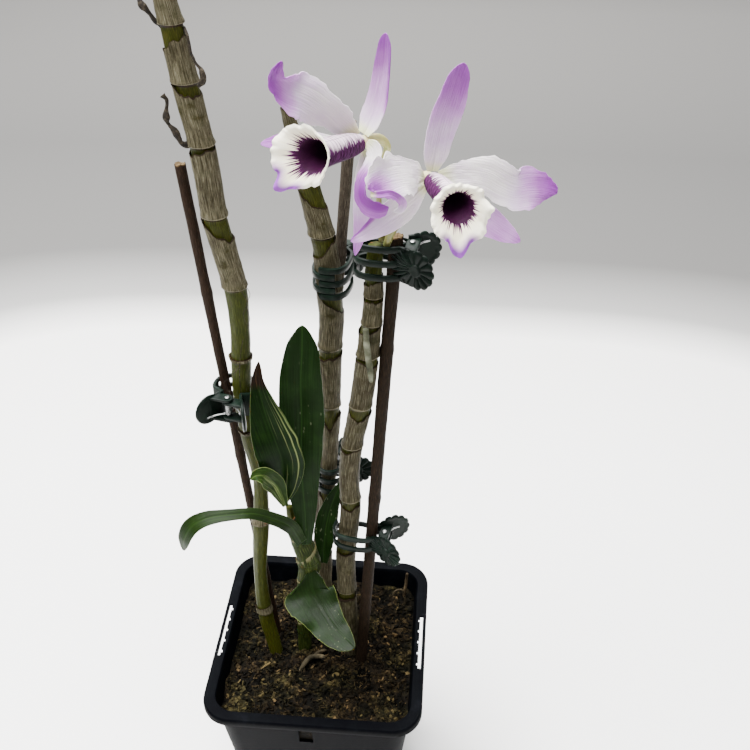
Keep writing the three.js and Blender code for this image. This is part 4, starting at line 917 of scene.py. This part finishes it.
FLOWERS = {
    "flower_left": dict(
        hub=(24.6, -15.6, 398.4), forward=(-0.7, -0.7, 0.1),
        stalk=((6.4, 17.4, -46.6), (5.2, 16.4, -33), (5.6, 12.6, -20), (7.2, 9.4, -10), (8.6, 6, -3.4),
               (6, 3.2, 0.4), (2, 1.6, 0.2), (0, 0, 0)),
        stalk_radii=(1.5, 1.1, 1.1, 1.2, 1.4, 1.7, 2.2, 2.2),
        lip=dict(
            mouth=(-13.6, -15.4, 1.6), look=(-0.19, -0.93, 0.3), tip=(-0.6, -0.48, -0.64),
            shift=(-4.7, -0.4, -0.3), throat=6.3),
        tepals=dict(
            sepal_upper=(dict(
                spine=((1.2, 1.2, 2.7), (3.4, 2.2, 7), (5.4, 3, 12.4), (7, 3, 20.2), (7.7, 2.4, 26.1),
                       (8.2, 1.6, 31.5), (8.4, 1, 36.7)),
                half=(2.4, 4.6, 4.8, 4.2, 3.7, 3.1, 2), face=(-0.6, -0.75, 0.2), bend=24, rib=0.25,
                round_from=0.88),
                lambda t, u: 0.36 * step(-0.1, 0.5, t) + 0.6 * step(0.35, 1.0, t)
                + 0.4 * step(0.6, 0.9, u) * step(0.25, 0.45, t)),
            petal_rear=(dict(
                spine=((-1.8, 1.6, 2.2), (-6.2, -1.2, 7.4), (-11.2, -5, 13.2), (-16.6, -7.5, 18),
                       (-22.2, -9.5, 21.1), (-25.2, -11.5, 24.7), (-24.9, -13, 28.4), (-23.1, -13.5, 31.7)),
                half=(1.6, 4.8, 6, 7.2, 6.1, 3.4, 2, 0.7),
                face=((-0.35, -0.85, 0.4), (-0.2, -0.9, 0.4), (0.1, -0.9, 0.3), (0.3, -0.8, 0)), wave=1,
                waves=2, bend=14, rows=84, cols=30, ruffle=0.8, bulge=0.16, frill=0.15),
                lambda t, u: step(0.34, 0.84, t) * (0.8 + 0.3 * step(0.5, -0.7, u))
                + 0.24 * step(0.2, -0.9, u) * step(0.3, 0.55, t)),
            petal_front=(dict(
                spine=((2.4, -1.4, 0.8), (4.6, -3, -0.4), (5.3, -5.4, -2.7), (4.1, -8.4, -4.9),
                       (2, -11.4, -7.3), (1.1, -13.6, -10.5), (1.9, -14.6, -13.9), (4.6, -15, -16.7),
                       (8.1, -15, -17.4), (10.8, -14.6, -16.5)),
                half=(1.3, 3, 3.2, 2.5, 2.3, 2.1, 2.5, 3, 2.5, 0.7),
                face=((-0.5, -0.7, 0.5), (-0.4, -0.85, 0.4), (-0.3, -0.9, 0.3), (-0.1, -0.9, 0.4)), bend=26,
                rows=90, ruffle=0.6, frill=0.13),
                lambda t, u: step(0.22, 0.5, t) * (0.74 + 0.4 * step(0.6, -0.5, u))),
            sepal_rear=(dict(
                spine=((-1.2, 2.6, -1.6), (-8.5, 2.4, -2.6), (-18.5, 0, -1), (-26, -2.4, 0.4),
                       (-33.6, -5, 0.6)),
                half=(1.2, 3.5, 4.5, 3.4, 0.9), face=(-0.5, -0.6, 0.5), bend=16),
                lambda t, u: 0.8 * step(0.3, 0.75, t)),
            sepal_front=(dict(
                spine=((1.6, 0.6, -2.7), (1.2, -1.8, -9.6), (1.1, -4.4, -18.6), (0.5, -6.6, -28.6),
                       (-1.6, -8.4, -39)),
                half=(1.3, 3.4, 4.3, 3.4, 0.8), face=(-0.6, -0.75, 0.2), bend=16, rib=0.2),
                lambda t, u: 0.3 * step(0.15, 0.6, t) + 0.45 * step(0.6, 1, t)))),
    "flower_right": dict(
        hub=(49, -14, 385), forward=(0.49, -0.87, -0.05),
        stalk=((-16.2, 12.8, -33.2), (-14, 10.4, -26), (-9.6, 7, -18), (-4.8, 5.6, -7), (-2, 3.4, -0.7),
               (0, 0, 0)),
        stalk_radii=(1.5, 1.5, 1.7, 1.8, 2.2, 2.2),
        lip=dict(
            mouth=(9.6, -17.4, -1.6), look=(0.165, -0.94, 0.31), tip=(0.05, -0.59, -0.81),
            shift=(1, -1.2, -1.8), throat=5.8),
        tepals=dict(
            sepal_upper=(dict(
                spine=((0.2, 1.2, 2.8), (1, 1.6, 8), (2, 2, 14.2), (3.6, 2.6, 20.9), (5.6, 3.2, 27.3),
                       (7.4, 3.8, 34.2), (9.4, 4, 39.8)),
                half=(2, 4.3, 5.1, 5.6, 5.3, 4.3, 2.5), face=(0.4, -0.9, 0.2), bend=18, cols=26, rib=0.25,
                bulge=0.08, round_from=0.88),
                lambda t, u: 0.3 * step(-0.1, 0.6, t) + 0.65 * step(0.4, 1.0, t)),
            petal_rear=(dict(
                spine=((2.5, 1.2, 1), (8.2, 1.4, 1.8), (14.3, 1.8, 2.1), (19.8, 2.6, 0.6),
                       (25.2, 3.8, -2.8), (30.1, 5, -5.1), (35.4, 6, -4.6), (40.1, 6.8, -5),
                       (43.4, 7, -5.9), (44.9, 7, -6.8)),
                half=(1.5, 3.6, 5.6, 7.1, 6.7, 7.3, 7.9, 5.2, 2.4, 0.7), face=(0.3, -0.9, 0.3), wave=1,
                waves=2, bend=10, rows=90, cols=30, ruffle=0.8, bulge=0.16, frill=0.13),
                lambda t, u: 0.92 * step(0.4, 0.92, t) + 0.1 * step(0.3, -0.8, u) * step(0.4, 0.7, t)),
            petal_front=(dict(
                spine=((-2.6, -1.2, 1), (-5.8, -4.4, 3.4), (-9.4, -8.6, 5.3), (-13.2, -13, 6.4),
                       (-16.6, -16.6, 6.6), (-19.1, -19, 6.2), (-20.5, -20.4, 5.5)),
                half=(1.5, 5.3, 8, 8, 6.9, 4.2, 0.8),
                face=((-0.1, -0.8, 0.6), (-0.1, -0.8, 0.6), (0.1, -0.9, 0.4), (0.2, -0.9, 0.3)), wave=0.8,
                waves=2, bend=16, cols=30, ruffle=0.8, bulge=0.16, frill=0.15),
                lambda t, u: 0.85 * step(0.35, 0.8, t) * step(1.1, -0.3, u)),
            petal_front_roll=(dict(
                spine=((-19.4, -19.8, 3.2), (-16.3, -20.8, 3.8), (-13.4, -20.8, 4.2), (-10.7, -19.8, 2.4),
                       (-9.1, -19, -0.1), (-9.7, -19, -2.2), (-11.7, -19.6, -2.9)),
                half=(0.9, 1.3, 1.3, 1.5, 1.8, 1.4, 0.5),
                face=((0.1, -0.9, 0.4), (0.2, -0.8, 0.5), (0.6, -0.7, 0.1)), bend=60, rows=60, ruffle=0.1,
                frill=0.03),
                lambda t, u: 0.85 * step(1.0, 0.35, t)),
            sepal_rear=(dict(
                spine=((1.9, 1.4, -1.6), (11.5, 2, -9.5), (20, 2, -15.5), (27.5, 1, -20), (33, 0, -23)),
                half=(1.3, 4.4, 5.5, 3.7, 0.9), face=(0.4, -0.9, 0.1), bend=14, rib=0.2),
                lambda t, u: 0.5 * step(0.1, 0.7, t) + 0.2 * step(0.8, 1, t)),
            sepal_front=(dict(
                spine=((-2, -0.8, -2.2), (-8, -4, -7.4), (-14.6, -8.4, -11.6), (-21.6, -13, -15),
                       (-26.6, -17, -16.2)),
                half=(1.3, 4.6, 5, 2.7, 0.9), face=(-0.1, -0.9, 0.4), bend=20, rib=0.2),
                lambda t, u: 0.3 * step(0.2, 0.8, t) + 0.55 * step(0.45, 0.85, u) * step(0.35, 0.55, t)
                + 0.3 * step(0.85, 1, t)))),
}
LIP_RINGS = (
    (0, 2.7, 0, 0), (0.18, 3.7, 0, 0), (0.45, 4.2, 0, 0), (0.75, 4.6, 0, 0), (1, 5.4, 0.1, 0),
    (1, 7.2, 0.45, 0.7), (1, 9, 0.8, 1.1), (1, 10.2, 1, 0.4))


def lip_sheet(forward, mouth, look, tip, shift, throat, seed, rows=72, sides=176):
    """The lip from the hub out: a tube that opens into a ruffled plate with a pointed tip."""
    forward, look, mouth, tip, shift = unit(forward), unit(look), *np.array((mouth, tip, shift), float)
    start = forward * 0.45
    bow = start + forward * np.linalg.norm(mouth) * 0.5
    a = circle(sides)
    swing = np.arctan2(np.sin(a), np.cos(a))
    place = np.stack([np.cos(a) * 9, np.sin(a) * 9], 1)
    wobble, fine, broad = (grain(place, size, seed + k) for k, size in enumerate((2.6, 1.2, 5)))
    sheet, marks = [], {"reach": [], "flare": []}
    for share, radius, moved, ahead in eased(LIP_RINGS, np.linspace(0, 1, rows)):
        share = min(max(share, 0), 1)
        axis = unit(forward + (look - forward) * share * share * (3 - 2 * share))
        to_tip = unit(tip - axis * (tip @ axis))
        middle = (1 - share) ** 2 * start + 2 * share * (1 - share) * bow + share ** 2 * mouth
        middle = middle + shift * moved + axis * ahead
        flare = max(0, (radius - 5.4) / 4.8)
        point = flare * 4.4 * np.exp(-(swing / 0.24) ** 2)
        reach = (radius + point + flare ** 2 * (0.8 * wobble + 0.55 * fine))[:, None]
        ruffle = (flare * 1.3 * broad + flare ** 2 * wobble + flare ** 5 * 0.9 * fine)[:, None]
        round_axis = to_tip * np.cos(a)[:, None] + np.cross(axis, to_tip) * np.sin(a)[:, None]
        sheet.append(middle + round_axis * reach + axis * ruffle)
        marks["reach"].append(radius if share >= 0.999 else share * 4)
        marks["flare"].append(flare + (share - 1))
    sheet = np.array(sheet)
    across = np.roll(sheet, -1, axis=1) - np.roll(sheet, 1, axis=1)
    normal = unit(np.cross(across, np.gradient(sheet, axis=0)))
    half = normal * np.linspace(0.35, 0.1575, rows)[:, None, None]
    marks = {name: np.repeat(v, sides).reshape(rows, sides) for name, v in marks.items()}
    points, faces, marks = sleeve(sheet + half, sheet - half, turn=np.tile(swing, (rows, 1)), **marks)
    marks["inner"] = np.repeat((0, 1), rows * sides)
    return points, faces, {**marks, "throat": np.full(len(points), throat)}


lip_velvet, add = new_finish("lip_velvet")
sine = add("Math", "turn", operation="SINE")
cosine = add("Math", "turn", operation="COSINE")
round_about = add("CombineXYZ", X=sine, Y=cosine)
rays = add("TexNoise", round_about, Scale=13.0, Detail=3.0, Roughness=0.65)
cloud = add("TexNoise", "place", Scale=260.0, Detail=4.0)
jag = add("MapRange", rays, From_Min=0.3, From_Max=0.7, To_Min=-1.7, To_Max=1.7)
zone = add("Math", "reach", "throat", operation="SUBTRACT")
zone = add("Math", zone, jag, operation="ADD")
inside_tone = add("ValToRGB", add("MapRange", zone, From_Min=-3.0, From_Max=3.0),
    stops=[(0.0, "#280722"), (0.3, "#260621"), (0.5, "#340c30"), (0.54, "#8d5a88"), (0.6, "#efe5c6"),
    (1.0, "#f5eed8")])
near_tip = add("MapRange", cosine, From_Min=0.7, From_Max=0.9)
at_edge = add("MapRange", "flare", From_Min=0.5, From_Max=0.85)
tip_amount = add("Math", near_tip, at_edge, operation="MULTIPLY")
inside_tone = add("Mix", tip_amount, inside_tone, "#84419f")
around = add("CombineXYZ", X="reach", Y=add("Math", cosine, 0.25, operation="MULTIPLY"))
comb = add("TexNoise", around, Scale=7.0, Detail=3.0, Roughness=0.6)
frayed = add("MapRange", comb, From_Min=0.3, From_Max=0.7, To_Min=-0.3, To_Max=0.3)
upper = add("Math", cosine, frayed, operation="ADD")
upper = add("MapRange", upper, From_Min=-0.68, From_Max=-0.98)
dark_streak = laid(add, "#22051f", "#4b1f49", comb, 0.4, 0.62)
tube_tone = add("Mix", upper, dark_streak, "#d3bfca")
outside_tone = laid(add, tube_tone, "#efe9e2", "flare", 0.05, 0.5)
tone = add("Mix", "inner", outside_tone, inside_tone)
bump_rays = add("Bump", Height=rays, Strength=0.12, Distance=0.0003)
bump = add("Bump", Height=cloud, Strength=0.6, Distance=0.0008, Normal=bump_rays)
coat(add, tone, 0.62, Normal=bump, IOR=1.4, Specular_IOR_Level=0.12, Subsurface_Weight=0.15,
     Subsurface_Scale=0.002, Subsurface_Radius=(0.6, 0.45, 0.65))

stalk_skin, add = new_finish("flower_stalk_skin")
cloud = add("TexNoise", "place", Scale=260.0, Detail=5.0)
mixed = add("Math", cloud, 0.24, "along", operation="MULTIPLY_ADD")
tone = add("ValToRGB", mixed, stops=[(0.1, "#5c5a2e"), (0.4, "#7d7d3f"), (0.75, "#a6a660"),
    (1.0, "#c4b98c")])
coat(add, tone, 0.48, (cloud, 0.3, 0.0003), IOR=1.42, Subsurface_Weight=0.15, Subsurface_Scale=0.002)

for order, (name, flower) in enumerate(FLOWERS.items()):
    hub = np.array(flower["hub"], float)
    t = np.linspace(0, 1, 90)
    line = hub + smooth_line(flower["stalk"], t)
    stalk = tube(line, eased(flower["stalk_radii"], t) * (1 + 0.04 * grain(line, 2.2, 3)), 24)
    make_piece(f"{name}_pedicel", stalk, stalk_skin, "root", f"{name}_stalk", "flower_stalk")

    for k, (part, (form, blush)) in enumerate(flower["tepals"].items()):
        points, faces, marks = blade(seed=120 + 20 * order + 3 * k, **form)
        marks["blush"] = np.clip(blush(marks["along"], marks["across"]), 0, 1.2) + 0.04
        marks["green_base"] = 0.75 * step(0.14, 0.02, marks["along"])
        make_piece(f"{name}_{part}_blade", (points + hub, faces, marks), waxy_tepal,
                   "root", f"{name}_{part.removesuffix('_roll')}", "petal")

    points, faces, marks = lip_sheet(flower["forward"], **flower["lip"], seed=180 + order)
    make_piece(f"{name}_lip_roll", (points + hub, faces, marks), lip_velvet, "root", f"{name}_lip", "lip")

    t = np.linspace(0, 1, 40)
    line = hub + unit(flower["forward"]) * (0.4 + 7.6 * t)[:, None]
    radii = eased((1.2, 1.5, 1.6, 1.2), t) * rounded(t, 0.86, 0.145, 0.004)
    points, faces, marks = tube(line, radii, 24)
    points += 0.1 * shaken(points, 1.1, 1)
    t = marks["along"]
    marks = {"blush": 0.35 * step(0.5, 0.95, t), "green_base": 0.8 * step(0.5, 0.1, t),
             "along": t, "off_rib": 0 * t}
    make_piece(f"{name}_column_body", (points, faces, marks), waxy_tepal, "root", f"{name}_column", "lip")


# ---- Roots and a dry stalk: a pale forked root lying on the mix, an aerial root that hangs from
# ---- the right cane in its spongy grey coat, and a dead wiry stalk with a curl.

root_coat, add = new_finish("spongy_root_coat")
pores = add("TexNoise", "place", Scale=700.0, Detail=6.0, Roughness=0.7)
cloud = add("TexNoise", "place", Scale=160.0, Detail=5.0)
pale = add("ValToRGB", cloud, stops=[(0.3, "#25281c"), (0.5, "#4d4f3f"), (0.7, "#7c7e6b")])
brown = add("ValToRGB", cloud, stops=[(0.3, "#130d07"), (0.5, "#2f2316"), (0.7, "#5b4830")])
tone = add("Mix", "tint", pale, brown)
coat(add, tone, (cloud, 0.7, 0.95), (pores, 0.5, 0.0003), Specular_IOR_Level=0.1)


def root_tube(line, radii, seed, tint, wander=0.25):
    """A crooked root or wiry stalk that narrows to a blunt end. Tint is 0 for pale and 1 for brown."""
    t = np.linspace(0, 1, 60)
    path = smooth_line(line, t)
    path = path + wander * shaken(path, 4, seed) * np.sin(math.pi * t)[:, None]
    width = eased(radii, t) * (1 + 0.12 * grain(path, 1.6, seed + 4))
    return tube(path, width * rounded(t, 0.96, 0.041, 0.05), 16, tint=tint)


ROOTS = {
    "surface_root": (
        (((-11.5, -14.5, 96), (-9, -12, 104.4), (-4.9, -8, 106.4), (1, -7.2, 106), (5.4, -9.7, 96)),
         (0.8, 1.1, 1.3, 1.2, 0.7), 5, 0.75),
        (((-3.6, -7.6, 106.4), (-1.6, -5, 107), (1.2, -3, 106.4), (2, -1, 103.6)), (1.0, 0.8, 0.5), 8, 0.8)),
    "dry_stalk": (
        (((41.4, 40, 90), (41.8, 41, 103), (42.6, 43, 112), (43, 43.4, 119)), (0.9, 0.9, 0.8), 12, 0.9, 0.15),
        (((42, 41.4, 105.6), (39.4, 41, 107.4), (36.6, 40, 107), (35.4, 38.8, 104.8), (36.8, 37.8, 102.6)),
         (0.5, 0.45, 0.3), 15, 0.85, 0.1)),
    "aerial_root": (
        (((24.9, -4.6, 315), (25.3, -5.4, 308.6), (26, -6.4, 302), (26.8, -6.6, 295.6), (27.2, -6.6, 289.8)),
         (1.2, 1.3, 1.3, 0.9), 18, 0.0, 0.2),),
}
for name, runs in ROOTS.items():
    body = joined([root_tube(*run) for run in runs])
    make_piece(f"{name}_body", body, root_coat, "root", name, "dry_root")


# ---- Spring clips: two moulded jaws of dark green acetal that turn on a steel pin. Each jaw has a
# ---- band, fingers that pass between the other's, and a finger grip shaped like a daisy.

CLIPS = (
    ("clip_top_right", (30.0, 2.3, 344.6), -6, (9.2, 5.4), 15, "daisy"),
    ("clip_top_middle", (8.3, 25.9, 323), 83, (9.9, 7.0), 15, "daisy"),
    ("clip_low_middle", (3.1, 23.1, 212.5), 38, (6.2, 8.8), 15, "daisy"),
    ("clip_low_right", (19.4, -0.1, 193), -8, (10.2, 6.4), 9, "daisy"),
    ("clip_left", (-33.2, 5.7, 270), 258, (6.6, 9.3), 12, "plain"),
)
BAND = 1.2
FINGER_GAP = 0.6
HINGE_REACH = 3.6
PIN_RADIUS = 0.8
WIRE_RADIUS = 0.36
LUG, LUG_GAP, LUG_RADIUS = 1.1, 0.35, 2.4
GRIP_SPREAD = 28
GRIP_SLOPE = math.tan(math.radians(GRIP_SPREAD))
GRIP_ASIDE, GRIP_AHEAD = 7.9, 2.6

acetal, add = new_finish("satin_green_acetal")
cloud = add("TexNoise", "place", Scale=120.0, Detail=6.0, Roughness=0.65)
grit = add("TexNoise", "place", Scale=1500.0, Detail=3.0)
tone = add("ValToRGB", cloud, stops=[(0.3, "#050c08"), (0.55, "#09140e"), (0.78, "#15241b")])
coat(add, tone, (cloud, 0.26, 0.5), (grit, 0.08, 0.0003), IOR=1.48, Specular_IOR_Level=0.1)

bright_wire, add = new_finish("bright_steel_wire")
cloud = add("TexNoise", "place", Scale=500.0, Detail=4.0)
tone = add("ValToRGB", cloud, stops=[(0.35, "#777876"), (0.6, "#b4b5b3"), (0.8, "#d0d0ce")])
coat(add, tone, (cloud, 0.2, 0.42), Metallic=1.0)


def strip(line, low, high):
    """A raised band as quads, so that its rounded edges stay clean."""
    line = np.asarray(line, float)
    way = unit(np.gradient(line, axis=0))
    aside = np.stack([-way[:, 1], way[:, 0]], 1) * BAND / 2
    rings = [np.stack([np.r_[p + s, low], np.r_[p - s, low], np.r_[p - s, high], np.r_[p + s, high]])
             for p, s in zip(line, aside)]
    return np.concatenate(rings), loft_faces(len(rings), 4), {}


def round_grip(kind):
    """A round grip standing upright in X and Z, its outer face toward +Y, plain or like a daisy."""
    lobes, spokes = 13, 156
    a = circle(spokes)
    wave = abs(np.cos(a * lobes / 2))
    outline = 7.45 + 0.95 * wave ** 0.6 if kind == "daisy" else np.full(spokes, 7.2)
    shares = (0.04, 0.14, 0.25, 0.29, 0.33, 0.38, 0.46, 0.56, 0.66, 0.76, 0.86, 0.92, 0.96, 0.985, 1.0)
    rings = []
    for face, share in [(1, share) for share in shares] + [(-1, share) for share in shares[::-1]]:
        radius = 7.9 * share + (outline - 7.9) * share ** 3 if kind == "daisy" else outline * share
        height = 0.75 - 0.42 * np.clip((share - 0.86) / 0.14, 0, 1) ** 2 + 0 * a
        if face == -1:
            height -= 0.28 * (share < 0.8)
        elif kind == "plain":
            height += 0.18 * (share < 0.84)
        else:
            petal = np.clip((share - 0.36) / 0.12, 0, 1) * np.clip((1.02 - share) / 0.1, 0, 1)
            height += (0.65 * wave ** 0.7 - 0.45) * petal + 0.75 * (share < 0.30) - 0.1 * (share < 0.1)
        rings.append(np.stack([np.cos(a) * radius, face * height, np.sin(a) * radius], 1))
    return np.concatenate(rings), loft_faces(len(rings), spokes), {}


def turned(part, degrees, shift):
    """A part turned about Z and shifted."""
    points, faces, marks = part
    return points @ spun(math.radians(degrees), 1, 0) + shift, faces, marks


def lug(hinge, plate_at, low, high):
    """A hinge ear round the pin, joined to the plate."""
    around = 40
    a = circle(around)
    reach = np.full(around, LUG_RADIUS)
    for k, (c, s) in enumerate(zip(np.cos(a), np.sin(a))):
        if s > 0.02:
            rise = s - c * GRIP_SLOPE
            wall = plate_at(hinge) / rise if rise > 0.05 else 99
            reach[k] = max(LUG_RADIUS, min(LUG_RADIUS / max(abs(c), 1e-6), wall))
    bore = PIN_RADIUS + 0.12
    rings = [np.stack([hinge + np.cos(a) * radius, np.sin(a) * radius, np.full(around, z)], 1)
             for radius, z in ((reach, low), (reach, high), (bore, high), (bore, low))]
    return np.concatenate(rings), loft_faces(4, around, closed=True), {}


def jaw(ring, height, grip, outer):
    """One jaw round the Z axis: a plate with every other finger, a ribbed grip and two hinge ears."""
    hinge = ring[0] + HINGE_REACH
    levels = 3 if height < 12 else 5  # fingers of both jaws together
    finger = (height - (levels - 1) * FINGER_GAP) / levels
    centre = np.array([hinge + GRIP_AHEAD, GRIP_ASIDE])

    def plate_at(x):
        """How far out the slanting plate lies."""
        return centre[1] + (x - centre[0]) * GRIP_SLOPE

    a = np.radians(np.linspace(200, 62, 37))
    hook = np.stack([np.cos(a), np.sin(a)], 1)
    hook = np.sign(hook) * abs(hook) ** (2 / 2.6) * (np.array(ring) + BAND / 2)
    path = np.vstack([hook, [[x, plate_at(x)] for x in np.linspace(hinge - 4.4, centre[0], 8)]])
    split = 27 if grip == "plain" else 39
    parts = [strip(path[split:], -height / 2, height / 2)]
    for level in range(0 if outer else 1, levels, 2):
        low = level * (finger + FINGER_GAP) - height / 2
        parts.append(strip(path[:split + 2], low, low + finger))
    parts.append(turned(round_grip(grip), GRIP_SPREAD, (*centre, 0)))
    share = np.linspace(0, 1, 14)
    for ray in (range(-3, 4) if grip == "daisy" else ()):
        a = math.radians(180 + ray * 13)
        reach = (3.4 + 8.2 * share) * (1 if abs(ray) < 3 else 0.86)
        rib = np.stack([np.cos(a) * reach, 0.55 + 0.35 * np.sin(math.pi * share), np.sin(a) * reach], 1)
        rib = rib[abs(rib[:, 2]) < height / 2 - 0.6]
        swell = 0.25 + 0.55 * np.sin(math.pi * share[:len(rib)]) ** 0.6
        parts.append(turned(tube(rib, swell, 10), GRIP_SPREAD, (*centre, 0)))
    lug_foot = height / 2 - LUG - (0 if outer else LUG + LUG_GAP)
    for low in (lug_foot, -lug_foot - LUG):
        parts.append(lug(hinge, plate_at, low, low + LUG))
    return joined(parts)


def spring(ring, height):
    """The pin with headed ends and the coil wound round it with its fixed leg; then its moving leg."""
    hinge = ring[0] + HINGE_REACH
    ends = height / 2 + 0.7
    z = np.array([-ends, -ends + 0.15, -ends + 0.5, -ends + 0.55, ends - 0.55, ends - 0.5, ends - 0.15, ends])
    radii = np.array([0.75, 1.0, 1.0, PIN_RADIUS - 0.05, PIN_RADIUS - 0.05, 1.0, 1.0, 0.75])
    pin = tube(np.stack([z * 0 + hinge, z * 0, z], 1), radii, 24)
    half = height / 2 - 2 * LUG - 2 * LUG_GAP - 0.5
    turns = round(2 * half / 0.86)
    t = np.linspace(0, 1, turns * 20)
    a = t * turns * 2 * math.pi + math.radians(118)
    coil = np.stack([hinge + 1.32 * np.cos(a), 1.32 * np.sin(a), -half + 2 * half * t], 1)
    leg_end = (hinge + 5.2, 1.3 - GRIP_ASIDE - 2.6 * GRIP_SLOPE, -half - 0.6)
    leg = (leg_end, (hinge + 2.6, -5.6, -half - 0.4), (hinge + 1.0, -2.6, -half - 0.1), coil[0])
    wire = np.concatenate([smooth_line(leg, np.linspace(0, 1, 20)), coil[2:]])
    moving = ((hinge - 0.7, 1.35, half - 0.1), (hinge + 1.2, 3.2, half + 0.2), (hinge + 3.0, 5.9, half + 0.5),
              (hinge + 5.6, 8.1, half + 0.4))
    moving = smooth_line(moving, np.linspace(0, 1, 24))
    return joined([pin, tube(wire, WIRE_RADIUS, 10)]), tube(moving, WIRE_RADIUS, 10)


for name, at, turn, ring, height, grip in CLIPS:
    for side, outer, body in (("front", True, "root"), ("back", False, f"{name}_jaw")):
        points, faces, _ = jaw(ring, height, grip, outer)
        part = turned((points * ((1, -1, -1) if outer else 1), faces, {}), turn, at)
        piece = make_piece(f"{name}_{side}_half", part, acetal)
        soft = piece.modifiers.new("soft_edges", "BEVEL")
        soft.width = 0.00022
        soft.segments = 2
        soft.limit_method = "ANGLE"
        soft.angle_limit = math.radians(48)
        bpy.context.view_layer.update()
        settle(piece)
        piece.data.set_sharp_from_angle(angle=math.radians(40))
        fasten(piece, body, f"{name}_{side}_jaw", "clip_plastic")
    pin, leg = spring(ring, height)
    piece = make_piece(f"{name}_spring_pin", turned(pin, turn, at), bright_wire,
                       "root", f"{name}_pin", "spring_steel")
    piece.data.set_sharp_from_angle(angle=math.radians(40))
    piece = make_piece(f"{name}_spring_leg", turned(leg, turn, at), bright_wire)
    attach(piece, f"{name}_jaw")
